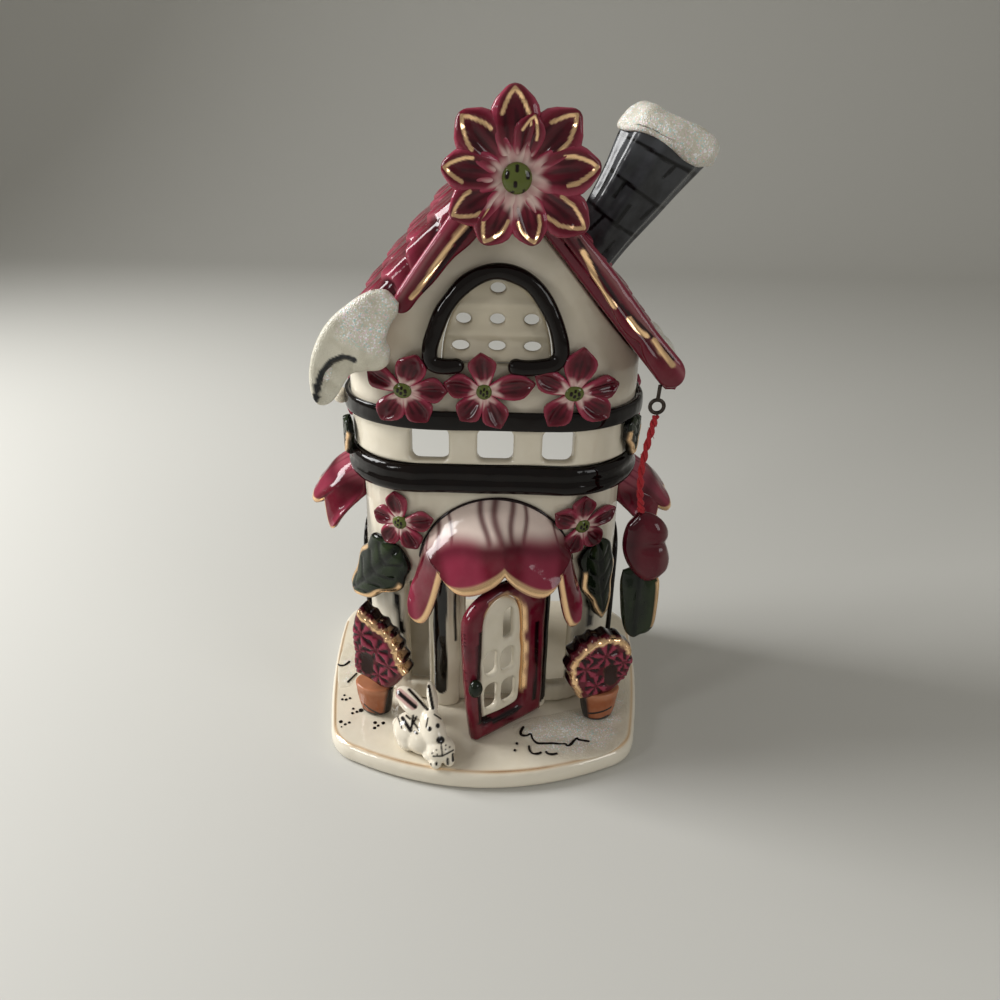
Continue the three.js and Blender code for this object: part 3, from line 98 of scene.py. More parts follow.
def new_material(name):
    """An empty material, and its object coordinates."""
    material = bpy.data.materials.new(name)
    material.use_nodes = True
    material.node_tree.nodes.clear()
    return material, add(material, "TexCoord").outputs["Object"]


def wool(name, colour, shade):
    """Spun wool: rough, with a soft sheen, and darker between its fibres (about 0.3 mm apart)."""
    material, place = new_material(name)
    fibres = add(material, "TexNoise", {"Vector": place, "Scale": 2600.0, "Detail": 3.0}).outputs["Fac"]
    tone = add(material, "Mix", {0: fibres, 6: linear(shade), 7: linear(colour)}, data_type="RGBA")
    bump = add(material, "Bump", {"Strength": 0.6, "Distance": 0.0003, "Height": fibres})
    look = {"Base Color": tone.outputs[2], "Roughness": 0.85, "Normal": bump.outputs["Normal"]}
    look.update({"Sheen Weight": 0.4, "Sheen Tint": linear("ff9aa0")})
    shader = add(material, "BsdfPrincipled", look)
    add(material, "OutputMaterial", {"Surface": shader.outputs[0]})
    return material


def circle(count):
    """Angles at even steps all the way round."""
    return np.linspace(0, 2 * np.pi, count, endpoint=False)


def grid(rows, columns):
    """Two parameters over a grid of points: the first changes from row to row."""
    return np.meshgrid(rows, columns, indexing="ij")


def sleeve(points, paint=None, ring=False):
    """A skin of quads over a grid of points, as points, faces and paint. Its columns run all
    the way round, and so do its rows where it is a ring."""
    rows, columns = points.shape[:2]
    i = np.arange(rows if ring else rows - 1)[:, None]
    j = np.arange(columns)[None, :]
    after_i, after_j = (i + 1) % rows, (j + 1) % columns
    corners = (i * columns + j, i * columns + after_j, after_i * columns + after_j, after_i * columns + j)
    faces = np.stack([np.broadcast_to(c, (len(i), columns)) for c in corners], -1).reshape(-1, 4)
    return points, faces, paint or {}


def smooth(low, high, x):
    """0 below low, 1 above high, and an even S between them."""
    t = np.clip((x - low) / (high - low), 0, 1)
    return t * t * (3 - 2 * t)


def ridge(x, width):
    """A bell: 1 where x is 0, and nearly nothing two widths off."""
    return np.exp(-((x / width) ** 2))


def quarter(x):
    """The rise of a quarter circle: steep at 0, level at 1 and beyond."""
    return np.sqrt(np.clip(1 - (1 - np.clip(x, 0, 1)) ** 2, 0, 1))


def squared(wave, power):
    """A sine or cosine pushed towards a square wave by a power under 1."""
    return np.sign(wave) * np.abs(wave) ** power


def wobble(x, y=0.0, seed=0.0):
    """Slow unevenness of hand work, about -1 to 1: three sines of unlike length, summed."""
    return (
        np.sin(x * 1.0 + y * 1.7 + seed * 2.1)
        + np.sin(x * 2.3 - y * 1.1 + seed * 5.3) * 0.6
        + np.sin(x * 0.6 + y * 2.9 + seed * 1.3) * 0.8
    ) / 2.4


def joined_mesh(name, parts, unit=0.001):
    """One mesh of parts (points in mm, faces, paint), in a unit of so many metres. Points within
    0.003 mm merge, faces turn outwards, and paint is kept as attributes of the points."""
    points, faces, paint, start = [], [], {}, 0
    total = sum(np.size(part[0]) // 3 for part in parts)
    for shape, corners, colours in parts:
        shape = np.asarray(shape, float).reshape(-1, 3)
        points.append(shape * unit)
        corners = np.asarray(corners, object).tolist()
        faces.extend([[corner + start for corner in face] for face in corners])
        for key, value in colours.items():
            whole = paint.setdefault(key, np.zeros(total))
            whole[start : start + len(shape)] = np.ravel(value)
        start += len(shape)
    mesh = bpy.data.meshes.new(name)
    mesh.from_pydata(np.concatenate(points), [], faces)
    for key, value in paint.items():
        layer = mesh.attributes.new(key, "FLOAT", "POINT")
        layer.data.foreach_set("value", value.astype(np.float32))
    work = bmesh.new()
    work.from_mesh(mesh)
    bmesh.ops.remove_doubles(work, verts=work.verts, dist=0.003 * unit)
    bmesh.ops.recalc_face_normals(work, faces=work.faces)
    work.to_mesh(mesh)
    work.free()
    return mesh


def make_piece(name, parts, material, *instead_of, body="house", slot=None):
    """One piece made of parts, in one material. It rides on a body of the frame, and shows
    instead of the CAD nodes that it is given. The slot argument is not used. Blender numbers a
    name that the CAD's material has too."""
    mesh = joined_mesh(name, parts)
    mesh.shade_smooth()
    mesh.materials.append(material)
    piece = bpy.data.objects.new(name, mesh)
    bpy.context.scene.collection.objects.link(piece)
    if instead_of:
        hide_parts(*instead_of)
    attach(piece, body)
    return piece


def frames_along(path, up=(0, 1, 0)):
    """Two directions square to a path of points: across it, and the nearest to up."""
    ahead = np.gradient(path, axis=0)
    ahead /= np.linalg.norm(ahead, axis=1, keepdims=True)
    across = np.cross(ahead, np.asarray(up, float))
    across /= np.linalg.norm(across, axis=1, keepdims=True)
    return across, np.cross(across, ahead)


def curve_through(points, count):
    """A smooth line through a few points (Catmull-Rom), at even steps of its parameter."""
    p = np.asarray(points, float)
    p = np.vstack([2 * p[0] - p[1], p, 2 * p[-1] - p[-2]])
    t = np.linspace(0, len(p) - 3, count)
    i = np.minimum(t.astype(int), len(p) - 4)
    f = (t - i)[:, None]
    a, b, c, d = p[i], p[i + 1], p[i + 2], p[i + 3]
    curve = 2 * b + (c - a) * f + (2 * a - 5 * b + 4 * c - d) * f**2
    return (curve + (3 * b - 3 * c + d - a) * f**3) / 2


def rod(path, radius, sides=12, up=(0, 1, 0), flat=1.0, paint=None):
    """A tube along a path: its radius, which may change on the way, times the circle of its
    frame. flat squashes it in its up direction. Both ends close to a point."""
    path = np.asarray(path, float)
    radius = np.broadcast_to(radius, len(path)).copy()
    path = np.vstack([path[:1], path, path[-1:]])
    radius = np.concatenate([[0], radius, [0]])
    across, rise = frames_along(path + np.linspace(0, 1e-4, len(path))[:, None], up)
    turn = circle(sides)
    section = across[:, None] * np.cos(turn)[None, :, None]
    section = section + rise[:, None] * np.sin(turn)[None, :, None] * flat
    return sleeve(path[:, None] + section * radius[:, None, None], paint)


YARN_TOP = np.array([55.1, -28.9, 137.0])
YARN_TWISTS = 5
STRAND_RADIUS = 0.68
STRAND_OFF_AXIS = 0.62
LOOSE_FIBRES = 46
YARN_POINTS = [
    (0, 0, 0), (-0.9, 0, -5.0), (-2.1, 0, -12.2), (-2.9, 0, -20.2), (-2.6, 0, -28.1), (-1.8, 0, -33.5),
    (-1.5, 0, -36.0),
]
yarn_route = curve_through(YARN_POINTS, 60) + YARN_TOP
beside, before = frames_along(yarn_route)
turn = np.linspace(0, 2 * np.pi * YARN_TWISTS, len(yarn_route))
yarn_parts = []
for strand in (0, np.pi):
    swing = beside * np.cos(turn + strand)[:, None] + before * np.sin(turn + strand)[:, None]
    yarn_parts.append(rod(yarn_route + swing * STRAND_OFF_AXIS, STRAND_RADIUS, 10))
fibres = np.random.default_rng(4)
for at in fibres.integers(2, len(yarn_route) - 3, LOOSE_FIBRES):
    out = beside[at] * math.cos(at * 2.4) + before[at] * math.sin(at * 2.4)
    lean = fibres.normal(0, 0.35, 3) + out
    root = yarn_route[at] + out * 0.9
    fibre = [root, root + lean * 0.35 + [0, 0, -0.3], root + lean * 0.5 + [0, 0, -0.9]]
    yarn_parts.append(rod(curve_through(fibre, 5), [0.13, 0.12, 0.1, 0.07, 0.03], 4))
red_wool = wool("red_wool", "c81f2a", "6e0612")
yarn = make_piece("yarn", yarn_parts, red_wool, "yarn_loop", body="yarn", slot="yarn")


# Studio: a plain pale floor that bends up far behind, a broad soft lamp at the upper left,
# weaker ones at the right and in front, and an even world, dimmer than the lamps.
def plain_floor(name, colour):
    """Matt painted board: an even pale colour."""
    material = new_material(name)[0]
    shader = add(material, "BsdfPrincipled", {"Base Color": linear(colour), "Roughness": 0.7})
    add(material, "OutputMaterial", {"Surface": shader.outputs[0]})
    return material


FLOOR_NEAR, FLOOR_FLAT_TO, FLOOR_BEND, FLOOR_TOP, FLOOR_SIDE = -1.5, 1.1, 0.6, 3.0, 3.0
floor_line = [(FLOOR_NEAR, 0.0)]
for angle in np.linspace(0, math.pi / 2, 24):
    back, up = FLOOR_BEND * math.sin(angle), FLOOR_BEND - FLOOR_BEND * math.cos(angle)
    floor_line.append((FLOOR_FLAT_TO + back, up))
floor_line.append((FLOOR_FLAT_TO + FLOOR_BEND, FLOOR_TOP))
floor_mesh = bpy.data.meshes.new("floor")
floor_mesh.from_pydata(
    [(x, y, z) for y, z in floor_line for x in (-FLOOR_SIDE, FLOOR_SIDE)],
    [],
    [(2 * i, 2 * i + 1, 2 * i + 3, 2 * i + 2) for i in range(len(floor_line) - 1)],
)
floor_mesh.shade_smooth()
floor_mesh.materials.append(plain_floor("floor_paint", "c9c8c2"))
floor = bpy.data.objects.new("floor", floor_mesh)
bpy.context.scene.collection.objects.link(floor)
floor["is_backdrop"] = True

world = bpy.data.worlds.new("studio")
bpy.context.scene.world = world
world.use_nodes = True
world.node_tree.nodes["Background"].inputs["Color"].default_value = linear("dcd9d2")
world.node_tree.nodes["Background"].inputs["Strength"].default_value = 0.39
LAMPS_AIM_AT = Vector((0, 0, 0.1))
for lamp_name, at, size, watts in (
    ("left_lamp", (-0.85, 0.12, 0.62), (0.4, 0.55), 11.8),
    ("right_lamp", (0.8, -0.6, 0.5), (0.4, 0.4), 1.8),
    ("front_lamp", (-0.8, -0.6, 0.5), (0.16, 0.2), 1.3),
):
    lamp_data = bpy.data.lights.new(lamp_name, "AREA")
    lamp_data.shape = "RECTANGLE"
    lamp_data.size, lamp_data.size_y = size
    lamp_data.energy = watts
    lamp = bpy.data.objects.new(lamp_name, lamp_data)
    away = Vector(at) - LAMPS_AIM_AT
    lamp.matrix_world = Matrix.Translation(at) @ away.to_track_quat("Z", "Y").to_matrix().to_4x4()
    bpy.context.scene.collection.objects.link(lamp)


# Lower walls: a rolled slab of clay curled to a broad U, fluted by hand round its corners, with
# a doorway and two front windows and two side windows cut out. Fired white under ivory glaze.
def glazed(name, body, thin, pooled, stroke="0d0807", rough=0.1, spread=0.55, drift=0.35, ior=1.5):
    """Glazed earthenware: a glassy coat over clay, which shows thin and pale on ridges and pools
    dark in hollows. Attributes paint it: thin and rose (pale glaze, and in a few places painted
    highlights), the darker colour of glaze pools (also painted shade on faces that lie in shade),
    green, stroke (a brushed dark line) and gold (fired lustre, a film of metal). Its surface
    rolls a little, over about 7 mm."""
    material, place = new_material(name)
    colours = {"thin": thin, "rose": "a23c54", "pooled": pooled, "green": "5c6530", "stroke": stroke}
    colours["gold"] = "ffd5a4"
    mottle = add(material, "TexNoise", {"Vector": place, "Scale": 130.0, "Detail": 4.0})
    reach = {"Value": mottle.outputs["Fac"], "From Min": 0.4, "From Max": 0.75, "To Max": drift}
    uneven = add(material, "MapRange", reach)
    tone = add(material, "Mix", {0: uneven.outputs[0], 6: linear(body), 7: linear(thin)}, data_type="RGBA")
    painted = {}
    for key, colour in colours.items():
        painted[key] = add(material, "Attribute", attribute_name=key).outputs["Fac"]
        mix = {0: painted[key], 6: tone.outputs[2], 7: linear(colour)}
        tone = add(material, "Mix", mix, data_type="RGBA")
    roll = add(material, "TexNoise", {"Vector": place, "Scale": 150.0, "Detail": 1.0})
    skin = add(material, "TexNoise", {"Vector": place, "Scale": 900.0, "Detail": 2.0})
    heights = {0: skin.outputs["Fac"], 1: 0.05, 2: roll.outputs["Fac"]}
    height = add(material, "Math", heights, operation="MULTIPLY_ADD")
    bump = add(material, "Bump", {"Strength": spread, "Distance": 0.0006, "Height": height.outputs[0]})
    dull = add(material, "Math", {0: painted["gold"], 1: 0.14, 2: rough}, operation="MULTIPLY_ADD")
    look = {"Base Color": tone.outputs[2], "Metallic": painted["gold"], "Roughness": dull.outputs[0]}
    look.update({"IOR": ior, "Normal": bump.outputs["Normal"]})
    shader = add(material, "BsdfPrincipled", look)
    add(material, "OutputMaterial", {"Surface": shader.outputs[0]})
    return material


ivory_glaze = glazed("ivory_glaze", "ddd4c0", "ebe4d4", "b0a285")

HOUSE_HALF_WIDTH = 50.0
HOUSE_FRONT = 20.0
HOUSE_BACK = 52.0
FRONT_CORNER = 27.0
BACK_CORNER = 14.0
FRONT_FLAT = HOUSE_HALF_WIDTH - FRONT_CORNER
SIDE_START = FRONT_FLAT + FRONT_CORNER * math.pi / 2
SIDE_END = SIDE_START + HOUSE_BACK - BACK_CORNER - FRONT_CORNER + HOUSE_FRONT
BACK_START = SIDE_END + BACK_CORNER * math.pi / 2
BACK_MIDDLE = BACK_START + HOUSE_HALF_WIDTH - BACK_CORNER
BACK_CUT = BACK_START - 2.0
WALL = 5.0
WALL_BOTTOM = 8.3
WALL_TOP = 114.7
SIDE_WINDOW_Y = 15.0
SIDE_WINDOW_S = SIDE_START + SIDE_WINDOW_Y - FRONT_CORNER + HOUSE_FRONT


def around(s, out, z):
    """A point s mm along the outside of the lower walls, from the middle of their front, and
    out mm off them: a straight front, a front corner, a straight side, a back corner and a
    straight back, the left half as the right one mirrored."""
    s, out, z = np.broadcast_arrays(np.asarray(s, float), out, z)
    way, d = np.where(s < 0, -1.0, 1.0), np.abs(s)
    front = np.clip(d, 0, FRONT_FLAT)
    bend = np.clip(d - FRONT_FLAT, 0, SIDE_START - FRONT_FLAT) / FRONT_CORNER
    side = np.clip(d, SIDE_START, SIDE_END) - SIDE_START
    turn = np.clip(d - SIDE_END, 0, BACK_START - SIDE_END) / BACK_CORNER
    back = np.clip(d - BACK_START, 0, None)
    angle = bend + turn
    x = front + FRONT_CORNER * np.sin(bend) - BACK_CORNER * (1 - np.cos(turn)) - back
    y = -HOUSE_FRONT + FRONT_CORNER * (1 - np.cos(bend)) + side + BACK_CORNER * np.sin(turn)
    return np.stack([way * (x + out * np.sin(angle)), y - out * np.cos(angle), z], -1)


def inside(points, loop):
    """Which points lie inside a closed line, by counting its crossings to their right."""
    a, b = loop, np.roll(loop, -1, 0)
    x, y = points[:, :1], points[:, 1:]
    spans = (a[:, 1] > y) != (b[:, 1] > y)
    rise = np.where(a[:, 1] == b[:, 1], 1e-9, b[:, 1] - a[:, 1])
    return (spans & (x < a[:, 0] + (y - a[:, 1]) * (b[:, 0] - a[:, 0]) / rise)).sum(1) % 2 == 1


def gap_to(points, starts, ends):
    """The least distance of each point to a set of straight pieces of line."""
    best = np.full(len(points), 1e9)
    along = ends - starts
    for first in range(0, len(points), 2000):
        p = points[first : first + 2000, None]
        t = ((p - starts) * along).sum(-1) / np.maximum((along**2).sum(-1), 1e-12)
        foot = starts + np.clip(t, 0, 1)[..., None] * along
        best[first : first + 2000] = np.sqrt(((p - foot) ** 2).sum(-1)).min(1)
    return best


def gap_to_loop(points, loop):
    """The least distance of each point to a closed line."""
    return gap_to(points, loop, np.roll(loop, -1, 0))


def covered(points, lines, width):
    """How much a brush of some width, drawn along lines, covers each point: 0 to 1."""
    starts = np.concatenate([np.asarray(line, float)[:-1] for line in lines])
    ends = np.concatenate([np.asarray(line, float)[1:] for line in lines])
    gap = gap_to(points.reshape(-1, 2), starts, ends).reshape(points.shape[:-1])
    return 1 - smooth(width / 2 - 0.1, width / 2 + 0.22, gap)


def brushed(points, strokes):
    """The paint of several brush strokes, each a line and the brush's width."""
    return np.max([covered(points, [line], width) for line, width in strokes], 0)


def even_loop(loop, step):
    """A closed line cut again at even steps."""
    loop = np.asarray(loop, float)
    closed = np.vstack([loop, loop[:1]])
    lengths = np.linalg.norm(np.diff(closed, axis=0), axis=1)
    reach = np.concatenate([[0], np.cumsum(lengths)])
    at = np.linspace(0, reach[-1], max(8, int(reach[-1] / step)), endpoint=False)
    keep = np.unique(np.concatenate([at, reach[:-1][lengths > 4 * step]]))
    return np.stack([np.interp(keep, reach, closed[:, i]) for i in (0, 1)], -1)


Slab = namedtuple("Slab", "flat triangles rim sink")


def cut_slab(outline, holes, pitch, edge, joined_at=None):
    """A rolled slab cut flat to an outline with holes in it: its points, about a pitch
    apart, its triangles, its cut edges, and how far each point sinks where its cut edge is
    smoothed round, by a quarter circle of radius edge. joined_at is the distance along where
    its two ends meet and stay uncut."""
    loops = [even_loop(outline, pitch / 2)] + [even_loop(hole, pitch / 2) for hole in holes]
    starts = np.concatenate(loops)
    ends = np.concatenate([np.roll(loop, -1, 0) for loop in loops])
    cut = np.ones(len(starts), bool)
    if joined_at:
        cut = (np.abs(starts[:, 0]) < joined_at - 0.01) | (np.abs(ends[:, 0]) < joined_at - 0.01)
    spans = ends - starts
    square = np.stack([-spans[:, 1], spans[:, 0]], -1)
    square /= np.linalg.norm(square, axis=1, keepdims=True) + 1e-12
    low, high = loops[0].min(0), loops[0].max(0)
    count = np.maximum(2, ((high - low) / pitch).astype(int))
    lattice = np.meshgrid(*[np.linspace(low[i], high[i], count[i] + 1)[1:-1] for i in (0, 1)])
    spare = np.stack(lattice, -1).reshape(-1, 2)
    spare = spare[gap_to(spare, starts, ends) > max(edge * 1.3, pitch * 0.5)]
    rings = []
    for share in (0.15, 0.45, 1.0):
        ring = np.concatenate([starts + spans / 2 + way * square * edge * share for way in (-1, 1)])
        rings.append(ring[gap_to(ring, starts, ends) > edge * share * 0.9])
    spare = np.concatenate([spare] + rings)

    def on_slab(spots):
        return np.all([inside(spots, loop) == (loop is loops[0]) for loop in loops], 0)

    points = np.concatenate([starts, spare[on_slab(spare)]])
    edges, first = [], 0
    for loop in loops:
        number = np.arange(len(loop)) + first
        edges += np.stack([number, np.roll(number, -1)], -1).tolist()
        first += len(loop)
    made = delaunay_2d_cdt([tuple(p) for p in points], edges, [], 0, 1e-5)
    points = np.array([tuple(p) for p in made[0]])
    triangles = np.array(made[2])
    triangles = triangles[on_slab(points[triangles].mean(1))]
    pairs = np.sort(np.concatenate([triangles[:, [0, 1]], triangles[:, [1, 2]], triangles[:, [2, 0]]]), 1)
    pairs, times = np.unique(pairs, axis=0, return_counts=True)
    rim = pairs[times == 1]
    if joined_at:
        at_seam = np.abs(points[rim][:, :, 0]) > joined_at - 0.01
        rim = rim[~at_seam.all(1)]
    sink = edge * (1 - quarter(gap_to(points, starts[cut], ends[cut]) / edge))
    return Slab(points, triangles, rim, sink)


def both_faces(slab, outer, inner, paint=None, within=0.0):
    """A closed slab, given where its flat points lie on its outer and on its inner face, with
    the cut edges joining them. Paint is the outer face's, and the inner face takes the darker
    colour of glaze pools by a share: painted shade on the inside."""
    count, a, b = len(slab.flat), slab.rim[:, 0], slab.rim[:, 1]
    faces = slab.triangles.tolist() + (slab.triangles[:, ::-1] + count).tolist()
    faces += np.stack([a, b, b + count, a + count], -1).tolist()
    colours = {"pooled": np.append(np.zeros(count), np.full(count, within))}
    for key, value in (paint or {}).items():
        whole = colours.setdefault(key, np.zeros(2 * count))
        whole[:count] = value
    return np.concatenate([outer, inner]), faces, colours


def arch(middle, half, bottom, top):
    """A round-headed opening: straight sides from bottom, and a half circle under top."""
    turn = np.linspace(0, np.pi, 24)
    x = np.concatenate([[middle - half, middle + half], middle + half * np.cos(turn)])
    z = np.concatenate([[bottom, bottom], top - half + half * np.sin(turn)])
    return np.stack([x, z], -1)


def wall_strip(low, high):
    """The outline of a strip round the house from one side of the open back to the other."""
    return [(-BACK_CUT, low), (BACK_CUT, low), (BACK_CUT, high), (-BACK_CUT, high)]


def flutes(s, z):
    """Soft upright flutes round the corners and sides: a rounded wave of 4.6 mm pitch that
    fades out on the flat front, and wanders a little on its way up."""
    fade = smooth(21, 31, np.abs(s))
    return fade * 0.5 * np.abs(np.sin((s + 0.8 * wobble(z / 22, s / 40)) * np.pi / 4.6)) ** 0.8


openings = [arch(0.9, 10.0, WALL_BOTTOM + 0.6, 68.0)]
for way in (-1, 1):
    openings.append(arch(way * 28.5, 4.8, 16.5, 64.5))
    openings.append(arch(way * SIDE_WINDOW_S, 8.0, 28.0, 72.0))
WALL_STROKES = [
    ([(-60.5, 58), (-60.0, 51), (-60.8, 34)], 4.6),
    ([(-36.6, 56), (-36.2, 48), (-35.0, 40)], 2.6),
    ([(40.0, 56), (41.2, 50), (42.0, 43)], 2.4),
    ([(65.2, 62), (64.0, 44), (61.6, 24)], 2.6),
]
slab = cut_slab(wall_strip(WALL_BOTTOM, WALL_TOP), openings, 1.7, 1.1)
s, z = slab.flat.T
lift = flutes(s, z) + 0.25 * wobble(s / 16, z / 19)
groove = 1 - flutes(s, z) / 0.5
paint = {
    "pooled": 0.35 * smooth(0.6, 1, groove) * smooth(21, 31, np.abs(s)),
    "stroke": brushed(slab.flat, WALL_STROKES),
}
outer, inner = around(s, lift - slab.sink - 0.2, z), around(s, slab.sink - WALL, z)
# The inner face takes 0.8 of the darker pool colour: painted shade inside the house.
walls = both_faces(slab, outer, inner, paint, 0.8)
make_piece("lower_walls_glazed", [walls], ivory_glaze, "lower_walls")

# Base plate: a slab rolled 8 mm thick, bowed in front, with its edge smoothed round and a line
# of gold lustre brushed along its upper rim.
PLATE_THICK = 8.0
PLATE_SHIFT = -1.5
PLATE_SIDE = 68.0
PLATE_CORNER = 24
PLATE_SIDE_BACK = 36


def quadratic(a, b, c, count=20):
    """Points on the curve that leaves a towards b and comes to c from b."""
    t = np.linspace(0, 1, count, endpoint=False)[:, None]
    return (1 - t) ** 2 * np.array(a) + 2 * t * (1 - t) * np.array(b) + t**2 * np.array(c)


def plate_outline():
    """The plate from above, anticlockwise: bowed front, straight sides, round back corners."""
    turn = np.linspace(0, np.pi / 2, 20)[:, None]
    x, y = PLATE_SIDE - PLATE_CORNER, PLATE_SIDE_BACK
    right_back = (x, y) + PLATE_CORNER * np.hstack([np.cos(turn), np.sin(turn)])
    left_back = (-x, y) + PLATE_CORNER * np.hstack([-np.sin(turn), np.cos(turn)])
    return np.concatenate(
        [
            quadratic((-49, -49.6), (0, -74), (49, -49.6), 60),
            quadratic((49, -49.6), (58, -46), (60, -37)),
            quadratic((60, -37), (PLATE_SIDE, 0), (PLATE_SIDE, y)),
            right_back,
            left_back,
            quadratic((-PLATE_SIDE, y), (-PLATE_SIDE, 0), (-60, -37)),
            quadratic((-60, -37), (-58, -46), (-49, -49.6)),
        ]
    )


def plate_shape(rim):
    """Rings from the middle of the underside out to the edge and back over the top: each is
    the rim drawn in by a distance, at a height. The edge is a half oval, and the top dips and
    swells by a few tenths of a millimetre."""
    away = rim - rim.mean(0)
    size = np.linalg.norm(away, axis=1, keepdims=True)
    draw = [90, 30, 8, 2.4, 1.2, 0.35, 0, 0.1, 0.5, 1.1, 1.9, 2.8, 3.7, 4.8, 6, 8, 12, 18, 26, 36, 46, 90]
    rise = [0, 0, 0, 0.02, 0.5, 1.3, 2.6, 5.0, 6.4, 7.2, 7.6, 7.85, 7.95] + [PLATE_THICK] * 9
    rings = []
    for inset, z in zip(draw, rise):
        rings.append(np.hstack([rim - away / size * np.minimum(inset, size), np.full_like(size, z)]))
    shape = np.stack(rings)
    swell = 0.12 * wobble(shape[..., 0] / 11, shape[..., 1] / 13)
    shape[..., 2] += np.where(shape[..., 2] > 7.9, swell - 0.12, 0)
    return shape, np.array(draw)[:, None], np.array(rise)[:, None]


shape, inset, height = plate_shape(even_loop(plate_outline(), 0.9) + [PLATE_SHIFT, 0])
gold = ridge(inset - 1.9, 0.55) * (height > 6.5) * (shape[..., 1] < PLATE_SIDE_BACK)
paint = {"gold": gold * (0.75 + 0.25 * wobble(shape[..., 0] / 6)), "thin": 0.5 * (inset < 1.3) + 0 * gold}
make_piece("plate_glazed", [sleeve(shape, paint)], ivory_glaze, "base_plate")

# Bands: rolls of clay pressed round the house where the storeys meet, under black-brown glaze.
# The lower one is two rolls side by side. They end at the open back.
black_glaze = glazed("black_glaze", "0b0605", "1a0f0b", "060303", rough=0.07, spread=0.8, ior=1.34)


def capped(rings):
    """Rings closed at both ends, each end drawn together to its middle."""
    ends = rings[[0, -1]].mean(1, keepdims=True) + 0 * rings[:1]
    return np.concatenate([ends[:1], rings, ends[1:]])


def band(rolls, inner, low, high, seed):
    """A roll carried along the wall: at each place a rounded oblong, inner mm to about
    rolls[...] mm out and from low to high, whose outside swells once for each roll, and whose
    edges wander by hand. Its two ends close at the back."""
    s, turn = grid(np.linspace(-BACK_CUT, BACK_CUT, 300), circle(44))
    x, z = squared(np.cos(turn), 0.6), squared(np.sin(turn), 0.75)
    middle, half = (low + high) / 2, (high - low) / 2
    drift = 0.45 * wobble(s / 14, seed=seed) * smooth(0, 8, BACK_CUT - np.abs(s))
    reach = np.where(z < 0, rolls[0], rolls[-1])
    lobes = 0.35 * np.abs(np.sin(z * np.pi / 2 * len(rolls))) if len(rolls) > 1 else 0.0
    out = inner + (x + 1) / 2 * (reach - inner - 0.35 + lobes + 0.3 * wobble(s / 9, seed=seed + 2))
    up = middle + z * half + drift * (0.5 + 0.5 * np.abs(z)) * np.where(x < -0.9, 0, 1)
    return sleeve(capped(around(s, out, np.clip(up, low - 0.4, high + 0.25))))


BANDS = {"lower_band": ([5.6, 5.0], 0.25, 104.0, 114.7, 1), "upper_band": ([6.4], 3.75, 128.9, 135.7, 5)}
for name, spec in BANDS.items():
    make_piece(name + "_glazed", [band(*spec)], black_glaze, name)


# Gallery: a wider ring of slab joined on top of the lower walls, with three slots cut in its
# front, under the same ivory glaze.
def round_box(x0, x1, z0, z1, corner):
    """An oblong opening with round corners."""
    rings = []
    for x, z, start in (
        (x1 - corner, z1 - corner, 0),
        (x0 + corner, z1 - corner, 1),
        (x0 + corner, z0 + corner, 2),
        (x1 - corner, z0 + corner, 3),
    ):
        angle = np.linspace(0, np.pi / 2, 7) + start * np.pi / 2
        rings.append(np.stack([x + corner * np.cos(angle), z + corner * np.sin(angle)], -1))
    return np.concatenate(rings)


GALLERY_OUT = 3.5
GALLERY_WALL = 6
GALLERY_SLOTS = [(-21.8, 6.8), (1.3, 6.4), (23.4, 5.6)]
openings = [round_box(x - half, x + half, 116.2, 128.4, 2.6) for x, half in GALLERY_SLOTS]
slab = cut_slab(wall_strip(115.0, 131.7), openings, 1.8, 1.2)
s, z = slab.flat.T
outer = around(s, GALLERY_OUT - slab.sink + 0.3 * wobble(s / 12, z / 9, 3) - 0.2, z)
inner = around(s, GALLERY_OUT - GALLERY_WALL + slab.sink, z)
# The inner face takes 0.8 of the darker pool colour: painted shade inside the house.
make_piece("gallery_glazed", [both_faces(slab, outer, inner, None, 0.8)], ivory_glaze, "gallery")

# Upper storey: one slab that runs up into both gables, an arched window in the front one, and
# the back one cut away for the candle.
RIDGE_X = 2.0
RIDGE_Z = 208.9
PITCH = math.radians(49)
STOREY_OUT = 3.5
STOREY_BOTTOM = 132.1
BACK_ARCH_HALF = 38
BACK_ARCH_FOOT = 120
BACK_ARCH_RISE = 46


def under_roof(s, out=STOREY_OUT):
    """The height of the roof's underside over a place along the walls, and out from them."""
    x = around(s, out, 0)[:, 0]
    return RIDGE_Z - 0.5 - np.abs(x - RIDGE_X) * math.tan(PITCH)


def storey_outline():
    """Bottom edge, then up the back arch's right side to the middle of the back, over the roof
    line all the way round, and down the arch's left side."""
    turn = np.linspace(math.asin((STOREY_BOTTOM - 0.1 - BACK_ARCH_FOOT) / BACK_ARCH_RISE), math.pi / 2, 24)
    across = BACK_ARCH_HALF * np.cos(turn)
    arch_s = np.where(across > HOUSE_HALF_WIDTH - BACK_CORNER, BACK_CUT, BACK_MIDDLE - across)
    arch_s[-1] = BACK_MIDDLE
    arch_z = BACK_ARCH_FOOT + BACK_ARCH_RISE * np.sin(turn)
    roof_s = np.linspace(BACK_MIDDLE, -BACK_MIDDLE, 319)
    roof_s = np.sort(np.append(roof_s, [RIDGE_X]))[::-1]
    bottom = np.stack([np.linspace(-arch_s[0], arch_s[0], 40), np.full(40, STOREY_BOTTOM)], -1)
    right = np.stack([arch_s, arch_z], -1)[1:]
    top = np.stack([roof_s, under_roof(roof_s)], -1)
    left = np.stack([-arch_s, arch_z], -1)[::-1][:-1]
    return np.concatenate([bottom, right, top, left])


def half_oval(x, z, half, rise):
    """The upper half of an oval, closed along its foot."""
    turn = np.linspace(0, np.pi, 30)
    return np.stack([x + half * np.cos(turn), z + rise * np.sin(turn)], -1)


